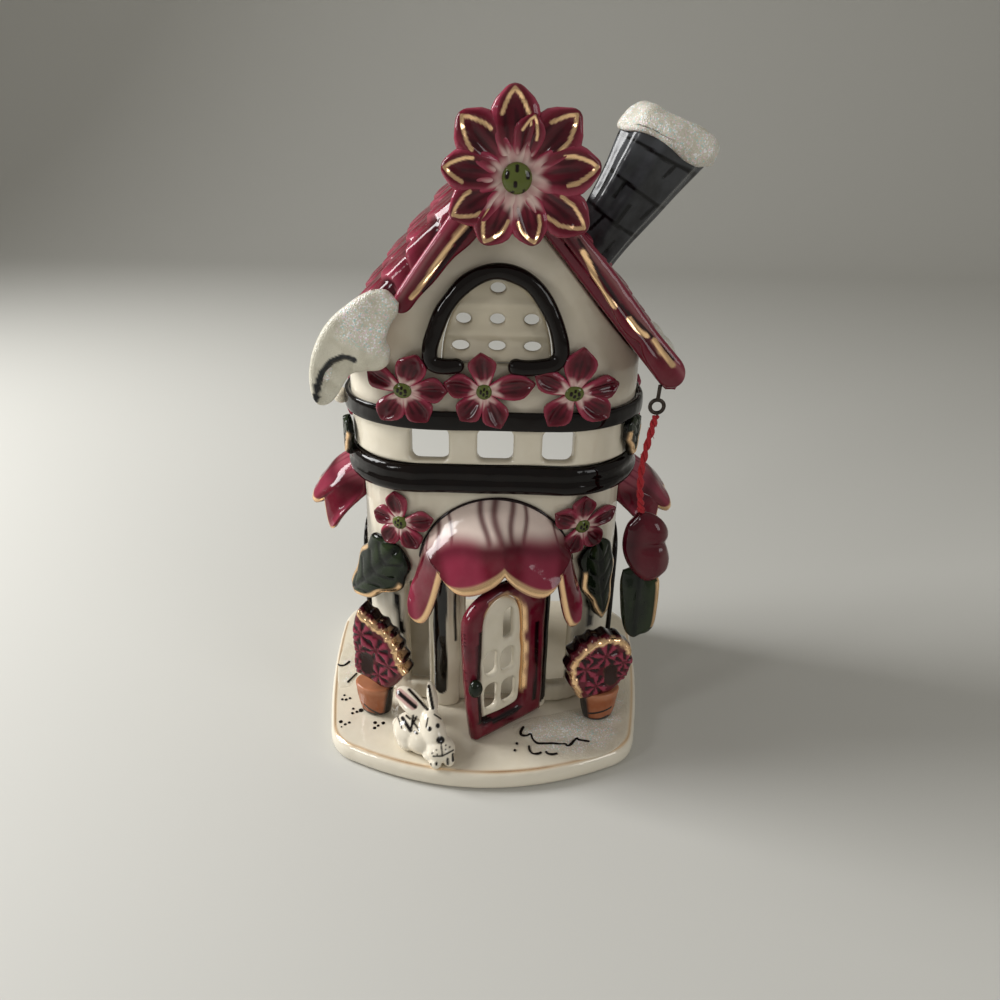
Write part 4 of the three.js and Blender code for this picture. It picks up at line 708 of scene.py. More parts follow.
slab = cut_slab(storey_outline(), [half_oval(1.2, 151.7, 18.8, 28.3)], 2.2, 0.9, BACK_MIDDLE)
s, z = slab.flat.T
off_seam = 1 - smooth(BACK_MIDDLE - 16, BACK_MIDDLE - 1, np.abs(s))
lift = 0.35 * wobble(s / 17, z / 15, 7) * off_seam - 0.25
outer = around(s, STOREY_OUT - slab.sink + lift, z)
bevel = (under_roof(s, STOREY_OUT - WALL) - STOREY_BOTTOM) / (under_roof(s) - STOREY_BOTTOM)
inner = around(s, STOREY_OUT - WALL + slab.sink, STOREY_BOTTOM + (z - STOREY_BOTTOM) * bevel)
make_piece("upper_storey_glazed", [both_faces(slab, outer, inner)], ivory_glaze, "upper_storey")


# Pierced window panel: a slab set in the front gable, soft ribs across it, and seven holes
# pressed through with a small tool.
def oval(x, z, half, rise):
    """A whole oval, of half widths half and rise."""
    turn = circle(22)
    return np.stack([x + half * np.cos(turn), z + rise * np.sin(turn)], -1)


def upright(slab, y):
    """A slab's flat points stood up at a depth."""
    return np.stack(np.broadcast_arrays(slab.flat[:, 0], y, slab.flat[:, 1]), -1)


WINDOW_X = 1.2
WINDOW_Z = 152.0
LATTICE_RIBS = (171.4, 162.0, 153.4)
openings = [oval(WINDOW_X, 176.6, 2.5, 1.7)]
openings += [oval(WINDOW_X + x, 166.5, 2.5, 1.8) for x in (-11.2, 0, 11.3)]
openings += [oval(WINDOW_X + x, 157.5, 2.9, 1.7) for x in (-12.2, 0, 11.9)]
slab = cut_slab(half_oval(WINDOW_X, WINDOW_Z + 0.1, 18.4, 27.8), openings, 1.1, 0.9)
x, z = slab.flat.T
ribs = sum(ridge(z - at, 1.7) for at in LATTICE_RIBS)
outer = upright(slab, -21.5 - 1.3 * ribs + slab.sink + 0.2 * wobble(x / 6, z / 5, 2))
# The panel's front takes 0.35 and its back 0.8 of the darker pool colour: painted shade, as it sits set back
# in the gable.
panel = both_faces(slab, outer, upright(slab, -18.7 - slab.sink), {"pooled": 0.35}, 0.8)
make_piece("window_panel", [panel], ivory_glaze, "window_lattice")


# Coil round the window: one roll of clay laid in an arch, its two feet turned in along the
# sill, under black glaze.
def blunt(path, radius):
    """The radius of a rod along a path, rounded off at both ends like half a ball."""
    reach = np.concatenate([[0], np.cumsum(np.linalg.norm(np.diff(path, axis=0), axis=1))])
    return radius * quarter(np.maximum(np.minimum(reach, reach[-1] - reach) / radius, 0.02))


COIL_Y = -26.0
COIL_RADIUS = 2.75
COIL_POINTS = [
    (-9.5, 152.2), (-15.5, 151.5), (-20.0, 152.6), (-20.9, 156.8), (-19.2, 163.0), (-15.5, 171.2),
    (-8.0, 179.4), (1.6, 182.7), (11.8, 178.9), (19.0, 169.0), (22.3, 158.5), (20.8, 153.6),
    (15.6, 151.9), (9.5, 151.6), (5.0, 152.6),
]
coil = curve_through([(x, COIL_Y, z) for x, z in COIL_POINTS], 200)
coil_radius = blunt(coil, COIL_RADIUS) * (1 + 0.07 * wobble(coil[:, 0] / 4, coil[:, 2] / 5))
coil_rod = rod(coil, coil_radius, 28, flat=0.85)
make_piece("window_coil", [coil_rod], black_glaze, "window_arch")

# Roof: two thick slabs mitred at the ridge, with courses of pointed, feather-like shingles
# pressed into them, under crimson glaze that runs pale over every edge.
crimson_glaze = glazed(
    "crimson_glaze", "640d22", "e6d3c8", "33040f", "160306", rough=0.08, spread=0.7, drift=0.04, ior=1.38
)
SIDES = {"left": -1, "right": 1}
ROOF_THICK = 6.2
ROOF_FRONT = -25.9
ROOF_BACK = 60.5
ROOF_SPANS = {-1: 53.0, 1: 57.0}
ROOF_CROWNS = {-1: 6.0, 1: 3.6}
COURSES = 8
COURSE_DEEP = 10.4
SHINGLE_WIDE = 12.4


def on_slope(side, s, y, n):
    """A point of a roof slope, -1 left or 1 right: s mm down it from the ridge, n out of it."""
    s, y, n = np.broadcast_arrays(s, y, n)
    x = RIDGE_X + side * (s * math.cos(PITCH) + n * math.sin(PITCH))
    return np.stack([x, y, RIDGE_Z + 0.05 - s * math.sin(PITCH) + n * math.cos(PITCH)], -1)


def mitre(n):
    """How far down the slope the joint at the ridge is, at a height over the underside."""
    return (0.02 - n * math.sin(PITCH)) / math.cos(PITCH)


def shingles(s, y):
    """Relief of the shingles in mm, and how far below each one's root a point is (0 to 1):
    each course ends in points, drawn in beside them; every shingle thickens towards its tail,
    has a raised spine, and lies half its width beside the ones above."""
    relief, share = np.zeros(s.shape), np.zeros(s.shape)
    done = np.zeros(s.shape, bool)
    for k in range(COURSES + 1):
        beside = 2 * np.mod(y / SHINGLE_WIDE + 0.5 * k + 0.07 * np.sin(k * 2.3), 1) - 1
        tail = (k + 1) * COURSE_DEEP - 4.2 * np.abs(beside) ** 1.5 + 0.6 * np.sin(y * 0.4 + k)
        here = (s <= tail) & ~done
        below = np.clip(1 - (tail - s) / (COURSE_DEEP + 2.0), 0, 1)
        lift = 0.2 + 1.7 * below**1.2 * (1 - 0.45 * beside**2)
        lift += 0.55 * ridge(beside, 0.16) * below * (1 - below**8)
        lift -= 0.5 * ridge(np.abs(beside) - 1, 0.13)
        relief[here], share[here] = lift[here], below[here]
        done |= here
    return relief, share


def roof_slab(side):
    """A sleeve round the slab: down its top, round the eave and back up its underside, in
    rows from front to back that draw in at both ends. The top swells to a low crown."""
    length = ROOF_SPANS[side] / math.cos(PITCH)
    down = np.append(np.linspace(0, 1, 140), np.linspace(1, 0, 50))
    y, f = grid(np.linspace(ROOF_FRONT, ROOF_BACK, 150), down)
    top = np.arange(len(down)) < 140
    s = f * length
    relief, share = shingles(s, y)
    arc = np.clip(np.sin(np.pi * (y - ROOF_FRONT) / (ROOF_BACK - ROOF_FRONT)), 0, 1)
    crown = ROOF_CROWNS[side] * np.sqrt(arc) * np.sin(np.pi * f) ** 0.4
    n = np.where(top, ROOF_THICK - 0.6 + relief + crown, 0.0)
    edge = np.minimum(np.minimum(y - ROOF_FRONT, ROOF_BACK - y) / 2.6, (length - s) / 3.4)
    n = 3.0 + (n - 3.0) * quarter(edge)
    s = mitre(n) * (1 - f) + s
    rose = 0.6 * smooth(0.5, 0.95, share) + 0.25 * wobble(s / 7, y / 8)
    paint = {
        "thin": np.where(top, 0.14 * smooth(0.86, 0.98, share), 0.0),
        "rose": np.where(top, rose, 0.2).clip(0, 1),
        "pooled": np.where(top, 0.85 * (1 - smooth(0.05, 0.4, share)), 0.2),
    }
    return sleeve(on_slope(side, s, y, n), paint)


for word, side in SIDES.items():
    name = "roof_" + word
    make_piece(name + "_shingled", [roof_slab(side)], crimson_glaze, name)

# Bargeboards: a rolled strip along the front edge of each slope, with a groove that was
# brushed with gold lustre. The right one is narrower at the ridge, and ends in a round tip.
BOARD_FRONT = -31.6
BOARD_BACK = -26.3
BOARD_LENGTHS = {-1: 51.0, 1: 85.0}
BOARD_GOLD = {
    -1: [[(16.0, 0.2), (21, 0.3), (27.2, -0.3), (34.7, -1.0), (41.2, -1.5), (44.0, -1.4)]],
    1: [
        [(30.7, 6.3), (34.1, 5.8), (39.1, 4.6)],
        [(40, 4.3), (44.6, 3.6), (50.2, 3.9)],
        [(56.5, 5.2), (60.3, 5.2), (64.3, 6.2)],
        [(66.9, 7.3), (71.6, 6.9), (77.5, 7.3)],
    ],
}
BOARD_DARK = {
    -1: [[(15, -1.0), (22, -1.1)], [(24, -1.5), (27.5, -1.8), (31, -1.9)], [(16, -1.6), (40, -2.9)]],
    1: [[(27, 7.4), (38, 6.4), (50, 5.4), (62, 7.0), (76, 8.4)]],
}


def bargeboard(side):
    """Rings round the strip, from the ridge down: a rounded oblong, squashed where the front
    has its groove, with a wavy lower edge, closing like a ball at the tip."""
    length = BOARD_LENGTHS[side]
    f, turn = grid(1 - (1 - np.linspace(0, 1, 150)) ** 1.25, circle(72))
    s = f * length
    across, deep = squared(np.cos(turn), 0.75), squared(np.sin(turn), 0.7)
    if side < 0:
        groove_at, gold_wide, flush = -0.6, 1.3, 0.7
        low = -3.9 - 0.5 * np.sin(s / 7.5) + 0.3 * np.sin(s / 3.1)
        high = 6.6 - 3.4 * smooth(14, 48, s) + 0.3 * np.sin(s / 5)
    else:
        groove_at, gold_wide, flush = 5.4, 1.5, 0.3
        low = 3.8 - 4.0 * smooth(35, 92, s) - 1.0 * ridge(s - 57, 7) + 1.4 * ridge(s - 66, 3)
        high = 10.0 + 0.3 * np.sin(s / 6)
    middle, half = (low + high) / 2, (high - low) / 2
    tip = quarter((length - s) / 6.0)
    n = middle + half * across * tip
    groove = ridge(n - groove_at, 1.1) * smooth(6, 14, s) * (1 - smooth(length - 14, length - 6, s))
    seen = deep < 0
    thick = (BOARD_BACK - BOARD_FRONT) / 2 * (1 - 0.34 * groove * seen)
    thick = thick * (1 + 0.06 * wobble(s / 5, n / 3, side))
    y = (BOARD_FRONT + BOARD_BACK) / 2 + thick * deep * (0.25 + 0.75 * tip)
    s = mitre(n) * (1 - f) + s
    spot = np.stack([s, n], -1)
    gold = covered(spot, BOARD_GOLD[side], gold_wide) * seen
    paint = {
        "gold": gold,
        "stroke": covered(spot, BOARD_DARK[side], 1.0) * seen * (1 - gold) * 0.9,
        # The pale line 2 mm under the top edge (thin) is a painted highlight, and the rose over the upper
        # part is the glaze's pink with painted light in it.
        "thin": 0.14 * ridge(n - high + 2.0, 0.8) * seen,
        "rose": flush * smooth(0.2, 0.8, (n - middle) / half + 0.3 * wobble(s / 6)) * seen,
        "pooled": 0.6 * groove,
    }
    return sleeve(on_slope(side, s, y, n), paint)


for word, side in SIDES.items():
    name = "bargeboard_" + word
    make_piece(name + "_rolled", [bargeboard(side)], crimson_glaze, name)

# Flower on the peak: nine plump petals and a small one over them, each pinched to a point with
# a rolled rim, brushed with a V of gold lustre. White shows in the throat, round an olive button.
PETAL_ALONG = [0, 0.12, 0.3, 0.5, 0.62, 0.72, 0.82, 0.9, 0.95, 0.98, 1]
PETAL_WIDTHS = [0.5, 0.64, 0.84, 0.98, 1.0, 0.94, 0.75, 0.5, 0.34, 0.21, 0.0]
FAN_STROKES = ((0.0, 0.62), (-0.36, 0.52), (0.36, 0.56))
VEE_SPREAD = np.array([0.0, 0.3, 0.4, 0.5, 0.54])


def petal(
    place, angle, start, end, width, thick, lift, white, seed, gold=0.0, turn_up=0.0, fine=1.0, sharp=1.0
):
    """One petal, laid by place(right, up, out). Along it (v, 0 to 1) its width grows to 0.6
    and closes in two nearly straight lines to a point; round it, a flattened oval, dished along
    the middle and plump at its rim. Fine strokes run out from its root, and the rim is rose."""
    length = end - start
    v, turn = grid(np.linspace(0, 1, int(54 * fine)) ** 0.9, circle(int(64 * fine)))
    half = np.interp(v, PETAL_ALONG, PETAL_WIDTHS) ** sharp
    u = squared(np.cos(turn), 0.85)
    above, edge = np.sin(turn) > 0, np.abs(u)
    body = thick * np.sqrt(half) * (0.5 + 0.5 * v)
    oval_top = np.abs(np.sin(turn)) ** 0.6
    dish = 0.62 * ridge(u, 0.5) * smooth(0.02, 0.3, v) * (1 - smooth(0.8, 0.98, v))
    crease = 0.09 * np.cos(u * 9 + seed) * smooth(0.15, 0.4, v) * (1 - smooth(0.6, 0.9, v)) * (edge < 0.75)
    out = np.where(above, body * (oval_top - dish + crease), -0.3 * body * oval_top)
    out = out + lift * v**1.6 - turn_up * v**4
    across = u * half * width / 2 * (1 + 0.05 * np.sin(v * 7 + seed))
    along = start + length * v
    aside = across + 0.5 * np.sin(seed * 3.1) * v**2
    way = math.radians(angle)
    x = along * math.cos(way) - aside * math.sin(way)
    y = along * math.sin(way) + aside * math.cos(way)
    fan = np.zeros(v.shape)
    for at, reach in FAN_STROKES:
        wander = at + 0.05 * np.sin(v * 9 + seed * 2 + at * 7)
        fan += ridge(u - wander, 0.075) * smooth(0.2, 0.34, v) * (1 - smooth(reach, reach + 0.12, v))
    vee = 0.0
    if gold:
        at = np.array([0.93, 0.86, 0.76, 0.64, 0.5 + 0.05 * math.sin(seed * 5)])
        spread = VEE_SPREAD * np.interp(at, PETAL_ALONG, PETAL_WIDTHS) * width / 2
        arm = np.stack([start + length * at, spread], -1)
        arms = [arm[: 4 if seed % 3 < 1 else 5], arm * [1, -1]]
        vee = covered(np.stack([along, across], -1), arms, 0.055 * width + 0.1)
    reach = white * (0.75 + 0.7 * edge) + 0.03 * np.sin(u * 9 + seed)
    rose = 0.35 * (1 - smooth(reach, reach + 0.3, v)) + 0.15 * np.sin(u * 7 + seed + v * 3)
    deep = 0.6 * (1 - smooth(0.4, 0.75, edge)) * smooth(white + 0.1, white + 0.4, v)
    paint = {
        "thin": 1 - smooth(reach - 0.05, reach + 0.09, v) + 0.08 * smooth(0.8, 1.0, edge),
        "rose": 0.7 * smooth(0.6, 0.95, edge) + rose,
        "pooled": deep * (1 - smooth(0.75, 0.95, v)),
        "stroke": np.clip(fan, 0, 0.55),
        "gold": gold * vee,
    }
    paint = {key: np.clip(value, 0, 1) * above for key, value in paint.items()}
    return sleeve(place(x, y, out), paint)


def button(place, up, radius, high, seeds, sink):
    """A dome with a flat foot: rings out from its middle. Its seeds are dots of black glaze."""
    rise = high * np.sqrt(1 - np.linspace(0, 1, 26) ** 2)
    height = up + np.append(rise, [-sink, -sink])[:, None]
    r, turn = grid(radius * np.append(np.linspace(0, 1, 26), [1, 0]), circle(56))
    x, y = r * np.cos(turn), r * np.sin(turn)
    return sleeve(place(x, y, height), {"green": 1.0, "stroke": brushed(np.stack([x, y], -1), seeds)})


PEAK_X, PEAK_Y, PEAK_Z = 6.1, -34.6, 210.6
THROAT_RADIUS = 7.6
PEAK_PETALS = [
    (93, 24.6, 15.0, 4.0, 0.6, 0.17),
    (136, 23.8, 14.4, 4.0, 0.4, 0.13),
    (47, 24.8, 14.2, 4.2, 0.6, 0.14),
    (9, 24.6, 14.6, 4.4, 0.6, 0.2),
    (172, 22.2, 13.0, 4.2, 0.5, 0.14),
    (-34, 25.6, 13.6, 3.8, 0.4, 0.22),
    (-151, 22.4, 12.6, 4.0, 0.4, 0.22),
    (-71, 19.6, 12.0, 3.8, 0.4, 0.32),
    (-116, 21.0, 12.8, 3.8, 0.4, 0.32),
    (75, 17.8, 8.8, 3.2, 2.4, 0.2),
]
PEAK_SEEDS = [
    ([(0.0, 2.2), (0.0, 3.3)], 1.0),
    ([(-2.9, 0.4), (-2.7, 1.5)], 1.1),
    ([(3.2, 0.4), (3.2, 1.4)], 1.1),
    ([(-0.4, -1.9), (-0.4, -1.1)], 1.0),
    ([(-2.4, -4.1), (-1.0, -3.6)], 0.6),
    ([(2.0, -4.3), (2.1, -3.1)], 0.6),
]


def on_peak(x, y, out):
    """The flower's own plane, upright and facing forwards, hollowed a little at its middle."""
    cup = 1.2 * smooth(4, 16, np.hypot(x, y))
    return np.stack(np.broadcast_arrays(PEAK_X + x, PEAK_Y - out - cup, PEAK_Z + y), -1)


petals = []
for number, (angle, end, wide, thick, lift, white) in enumerate(PEAK_PETALS):
    shape = petal(on_peak, angle, 3.4, end, wide, thick, lift, white, number * 1.7, 1.0, 0.8, 1.5)
    petals.append(shape)
r, turn = grid(THROAT_RADIUS * np.append(np.linspace(0, 1, 16), np.linspace(1, 0, 16)), circle(60))
level = np.where(np.arange(32) < 16, 0.9, -1.0)[:, None]
petals.append(sleeve(on_peak(r * np.cos(turn), r * np.sin(turn), level), {"thin": 1.0}))
make_piece("peak_bloom", petals, crimson_glaze, "peak_flower")
peak_button = button(on_peak, 2.6, 4.4, 2.0, PEAK_SEEDS, 2.4)
make_piece("peak_button", [peak_button], crimson_glaze, "peak_flower_centre", slot="olive_glaze")


# Flowers pressed on the walls: three over the upper band, one each side of the door, and one
# on each side of the gallery. Five plump petals round a green button with black seeds.
def on_house(s, out, z):
    """Places (right, up, out) on the wall and bent with it: at s along it, out mm off it."""

    def place(x, y, lift):
        return around(s + x, out + lift, z + y)

    return place


SMALL_SEEDS = [
    ([(-1.1, -0.2), (-1.0, 0.6)], 0.7),
    ([(1.1, -0.3), (1.0, 0.5)], 0.7),
    ([(0.0, 0.9), (0.1, 1.4)], 0.6),
    ([(-0.2, -0.9), (-0.1, -0.4)], 0.7),
    ([(0.7, -1.5), (1.1, -1.2)], 0.5),
]
EVEN_PETALS = [(angle, 10.0, 8.0) for angle in (90, 162, 18, -126, -54)]
BLOOMS = {
    "band_flower_left": (
        (-28.9, 5.6, 142.8),
        [(72, 13.2, 9.4), (155, 12.2, 8.6), (3, 14.2, 8.6), (-118, 13.4, 9.0), (-55, 13.0, 9.4)],
    ),
    "band_flower_middle": (
        (-2.8, 5.6, 143.2),
        [(94, 13.4, 9.6), (168, 14.0, 8.4), (10, 17.6, 9.8), (-127, 13.2, 9.6), (-64, 14.4, 9.2)],
    ),
    "band_flower_right": (
        (26.7, 5.6, 143.2),
        [(81, 16.0, 9.4), (152, 14.2, 8.8), (8, 14.0, 8.6), (-124, 14.0, 9.4), (-42, 14.6, 9.6)],
    ),
    "door_flower_left": (
        (-32.9, 1.6, 90.4),
        [(98, 12.4, 8.4), (170, 11.2, 8.0), (8, 12.4, 8.0), (-125, 11.4, 8.2), (-60, 12.0, 8.4)],
    ),
    "door_flower_right": (
        (33.6, 1.6, 90.4),
        [(88, 12.2, 8.6), (150, 11.6, 8.6), (12, 15.8, 7.6), (-115, 11.8, 8.4), (-52, 11.6, 8.4)],
    ),
    "side_flower_left": ((-82.0, 5.6, 126.4), EVEN_PETALS),
    "side_flower_right": ((82.0, 5.6, 126.4), EVEN_PETALS),
}
for number, (name, (at, spec)) in enumerate(BLOOMS.items()):
    place = on_house(*at)
    lift = 0.2 if spec is EVEN_PETALS else 0.3
    petals = []
    for k, (angle, end, wide) in enumerate(spec):
        seed = number * 2.3 + k * 1.9
        petals.append(petal(place, angle, 1.6, end, wide, 3.4, lift, 0.2, seed, sharp=1.45))
    petals.append(button(place, 0.9, 2.7, 1.3, SMALL_SEEDS, 1.2))
    make_piece(name + "_pressed", petals, crimson_glaze, name)

# Knob: a small ball of clay, rolled in the hand and stuck on at the left end of the upper
# band, under ivory glaze.
KNOB_RADIUS = 2.9
polar, turn = grid(np.linspace(0, np.pi, 20), circle(28))
beside = KNOB_RADIUS * np.sin(polar)
ball = around(-60.0 + beside * np.cos(turn), 7.2 + KNOB_RADIUS * np.cos(polar), 132.3 + beside * np.sin(turn))
make_piece("knob_ball", [sleeve(ball)], ivory_glaze, "band_knob")

# Chimney: a square-cut tube of slab that widens upwards, set on the right slope at a lean,
# under slate-grey glaze, with the joints of its stones brushed on in black.
slate_glaze = glazed(
    "slate_glaze", "2f3032", "53565a", "161719", "050506", rough=0.2, spread=0.9, drift=0.5, ior=1.4
)
CHIMNEY_LEAN = math.radians(33)
CHIMNEY_FOOT = (28.1, 8.0, 177.3)
CHIMNEY_DEPTH = 0.78
CHIMNEY_GIRTH = 11.5
CHIMNEY_LINES = [
    [(-3.1, 34.6), (-2.3, 34.2), (-1.6, 33.6), (-0.9, 33.5), (0, 34.2), (1.4, 34.4), (3.1, 34.6)],
    [(-3.1, 22.3), (-2.2, 21.6), (-1.4, 21.2), (-0.7, 21.8), (0.4, 22.2), (2.0, 22.0), (3.1, 22.3)],
    [(-3.1, 10.0), (-1.8, 9.4), (-0.4, 9.2), (1.5, 9.8), (3.1, 10.0)],
    [(-3.1, 46.6), (-2.2, 46.8), (-1.5, 46.0), (-0.8, 46.4), (3.1, 46.6)],
    [(-1.15, 45.5), (-1.2, 41.5)],
    [(-0.2, 45.5), (-0.1, 38.0)],
    [(-2.0, 33.6), (-2.05, 28.0)],
    [(-1.5, 28.5), (-1.5, 21.5)],
    [(-0.85, 33.0), (-0.9, 27.5)],
    [(-2.7, 32.0), (-2.75, 24.0)],
    [(-2.0, 20.8), (-2.15, 15.0)],
    [(-1.15, 16.5), (-1.2, 10.0)],
    [(0.4, 33), (0.4, 24)],
    [(1.5, 45), (1.6, 37)],
    [(2.4, 33), (2.4, 25)],
    [(1.0, 20), (1.0, 12)],
    [(2.2, 20), (2.2, 12)],
]


def on_chimney(turn, radius, up):
    """A point of the chimney by its turn round the axis (0 is right, -90 degrees the front).
    Both ends are cut at a slant: the foot to the roof, the top nearer to level."""
    x, y = radius * np.cos(turn), radius * np.sin(turn) * CHIMNEY_DEPTH
    z = up + np.interp(up, [2, 16, 30, 48], [-0.29, 0, 0, 0.17]) * x
    lean, rise = math.sin(CHIMNEY_LEAN), math.cos(CHIMNEY_LEAN)
    return CHIMNEY_FOOT + np.stack([x * rise + z * lean, y, z * rise - x * lean], -1)


def near_square(turn, amount):
    """Pushes a round section a little towards a square one."""
    return 1 + amount * np.cos(4 * (turn - math.pi / 4)) ** 2 - amount * 0.6


up = np.concatenate([[2, 2, 2.3, 3.0], np.linspace(4, 49, 90), [50.1, 51.4, 52.2, 52.6]])
radius = np.interp(up, [2, 12, 28, 40, 52.6], [8.8, 9.4, 11.2, 13.1, 15.2])
radius[:3] = [0, 8.0, 8.6]
radius[-3:] = [14.5, 14.0, 13.2]
radius = np.concatenate([radius, [9.6, 8.9], np.linspace(8.4, 6.4, 20), [0]])
up = np.concatenate([up, [52.6, 52.2], np.linspace(51, 24, 20), [24]])
up, turn = grid(up, circle(150) - np.pi)
outside = (np.arange(len(up)) < 96)[:, None]
swell = 1 + np.where(outside, 0.02 * wobble(turn * 3, up / 9, 4), 0)
shape = on_chimney(turn, radius[:, None] * near_square(turn, 0.1) * swell, up)
lines = [np.array(line) * [CHIMNEY_GIRTH, 1] for line in CHIMNEY_LINES]
joints = covered(np.stack([turn * CHIMNEY_GIRTH, up], -1), lines, 1.15)
paint = {"stroke": joints * outside, "thin": 0.3 * smooth(36, 46, up)}
make_piece("chimney_slab", [sleeve(shape, paint)], slate_glaze, "chimney")


# Snow: thick white glaze over pads of clay, strewn with fine iridescent glass glitter. It caps
# the chimney, hangs over both eaves and lies in patches on the base plate.
def snowy(name, body, shade):
    """White glaze full of glitter: flakes about 0.45 mm wide, each tilted its own way and
    tinted by its angle, between blue-green and rose. Attributes paint it: stroke is black
    glaze, and bare is where no glitter was strewn."""
    material, place = new_material(name)
    flakes = add(material, "TexVoronoi", {"Vector": place, "Scale": 2200.0})
    tint = add(material, "ValToRGB", {"Fac": flakes.outputs["Color"]})
    tint.color_ramp.interpolation = "CONSTANT"
    for end in tint.color_ramp.elements:
        end.color = linear(body)
    for at, code in ((0.3, "e2ded0"), (0.45, body), (0.6, "bfe0dc"), (0.66, "ffffff"), (0.76, "f5dfe3")):
        tint.color_ramp.elements.new(at).color = linear(code)
    bare = add(material, "Attribute", attribute_name="bare").outputs["Fac"]
    stroke = add(material, "Attribute", attribute_name="stroke").outputs["Fac"]
    lumps = add(material, "TexNoise", {"Vector": place, "Scale": 240.0, "Detail": 3.0}).outputs["Fac"]
    reach = {"Value": lumps, "From Min": 0.35, "From Max": 0.6, "To Min": 0.55, "To Max": 0.0}
    low = add(material, "MapRange", reach).outputs[0]
    tone = tint.outputs["Color"]
    for share, code in ((bare, body), (low, shade), (stroke, "0c1216")):
        tone = add(material, "Mix", {0: share, 6: tone, 7: linear(code)}, data_type="RGBA").outputs[2]
    grain = {"Strength": 0.7, "Distance": 0.00025, "Height": flakes.outputs["Distance"]}
    grain = add(material, "Bump", grain).outputs["Normal"]
    swell = {"Strength": 0.5, "Distance": 0.0006, "Height": lumps, "Normal": grain}
    swell = add(material, "Bump", swell).outputs["Normal"]
    look = {"Base Color": tone, "Roughness": 0.28, "IOR": 1.5, "Normal": swell}
    shader = add(material, "BsdfPrincipled", look)
    add(material, "OutputMaterial", {"Surface": shader.outputs[0]})
    return material


def closed_curve(points, count):
    """A smooth closed line through a few points."""
    return curve_through(np.vstack([points, points[:1]]), count)[:-1]


snow_glitter = snowy("snow_glitter", "ddd8c6", "bfb9a4")
CAP_PROFILE = [
    (13.6, 47.4), (15.0, 46.6), (16.2, 47.4), (16.8, 49.4), (16.6, 52.0), (15.4, 54.6), (13.0, 56.4),
    (10.4, 56.6), (8.0, 55.2), (6.9, 53.0), (7.4, 50.6), (9.5, 50.2), (12.6, 50.2), (13.6, 49.0),
]
CAP_UP = 2.6
cap_loop = closed_curve(CAP_PROFILE, 64)
turn, number = grid(circle(150) - np.pi, np.arange(len(cap_loop)))
radius, up = cap_loop[number, 0], cap_loop[number, 1] + CAP_UP
lump = 0.5 * wobble(turn * 4, up / 4, 3)
up = up + np.where(up < 51.6, 1.1 * np.sin(turn * 3 + 1.2) * (radius > 13), lump)
radius = radius + np.where(radius > 12, lump, 0)
shape = on_chimney(turn, radius * near_square(turn, 0.06), up)
spot = np.stack([turn * 12, number], -1)
marks = covered(spot, [[(5, 30), (9, 31), (13, 30)], [(19, 31), (22, 33)]], 1.6)
cap = sleeve(shape, {"stroke": marks}, ring=True)
make_piece("chimney_cap", [cap], snow_glitter, "chimney_snow", slot="snow_glaze")


def pad(outline, front, back, soft):
    """A pad: an outline in x and z carried from front to back, drawn in to a round edge at
    both ends, with hand-made lumps."""
    loop = even_loop(outline, 0.9)
    steps = soft * np.array([0, 0.02, 0.075, 0.175, 0.3, 0.5, 0.75, 1.0])
    steps = np.append(steps, np.linspace(soft + 0.9, back - front - soft - 0.9, 30))
    steps = np.unique(np.round(np.append(steps, back - front - steps), 4))
    draw = 1 - quarter(np.minimum(steps, steps[-1] - steps) / soft)
    away = loop - loop.mean(0)
    away /= np.linalg.norm(away, axis=1, keepdims=True)
    x, z = np.moveaxis(loop - away * soft * draw[:, None, None], -1, 0)
    y = front + steps[:, None] + 0 * x
    bump = 0.4 * wobble(x / 3.5, y / 4.5 + z / 5, 6)
    return sleeve(capped(np.stack([x + bump * away[:, 0], y, z + bump * away[:, 1]], -1)))


SNOW_LEFT = [
    (-29.6, 173.4), (-33.5, 177.4), (-39.5, 176.6), (-46.0, 172.6), (-52.0, 167.4), (-56.5, 160.5),
    (-59.2, 152.0), (-59.4, 144.6), (-57.6, 140.2), (-54.4, 139.8), (-51.2, 142.4), (-48.2, 147.2),
    (-45.6, 150.4), (-41.0, 151.6), (-36.4, 152.0), (-33.4, 154.4), (-33.0, 158.6), (-34.0, 162.0),
    (-32.4, 166.6), (-30.2, 170.0),
]
SNOW_STROKE = [(-44.2, 155.8), (-47.6, 156.5), (-51.5, 154.8), (-54.6, 151.2), (-56.8, 146.2), (-57.6, 141.8)]
SNOW_FOOT = [(-56.6, 139.8), (-53.4, 140.4), (-50.2, 143.6), (-47.0, 148.6), (-44.6, 151.4)]
SNOW_HOLLOW = np.array(SNOW_STROKE + SNOW_FOOT)
slab = cut_slab(closed_curve(SNOW_LEFT, 120), [], 0.5, 2.1)
x, z = slab.flat.T
hollow = np.minimum(gap_to_loop(slab.flat, SNOW_HOLLOW) / 1.2, 1) * inside(slab.flat, SNOW_HOLLOW)
plump = 1.6 * ridge(x + 40, 8) * ridge(z - 160, 10) + 0.35 * wobble(x / 3.2, z / 3.6, 4)
outer = upright(slab, -35.2 - plump + 2.0 * hollow + slab.sink)
paint = {
    "stroke": covered(slab.flat, [SNOW_STROKE], 2.1),
    "bare": np.maximum(smooth(-47, -51, x), smooth(161, 157, z + 0.4 * (x + 40))),
}
left_snow = [both_faces(slab, outer, upright(slab, -31.3 - 0.6 * slab.sink), paint)]
line = on_slope(-1, [70.0, 76, 82, 85, 84, 79, 72], 0, [8.0, 9.5, 8.6, 5.0, 1.0, 1.6, 4.0])
left_snow.append(pad(curve_through(line[:, [0, 2]], 60), -34.0, 7.0, 3.2))
make_piece("left_eave_snow", left_snow, snow_glitter, "eave_snow_left", slot="snow_glaze")
line = on_slope(1, [71.0, 76, 82, 88, 90, 87, 80, 73], 0, [7.5, 10.2, 10.6, 8.4, 5.0, 4.0, 5.0, 5.6])
right_snow = [pad(curve_through(line[:, [0, 2]], 60), -9.5, 19.5, 3.0)]
make_piece("right_eave_snow", right_snow, snow_glitter, "eave_snow_right", slot="snow_glaze")

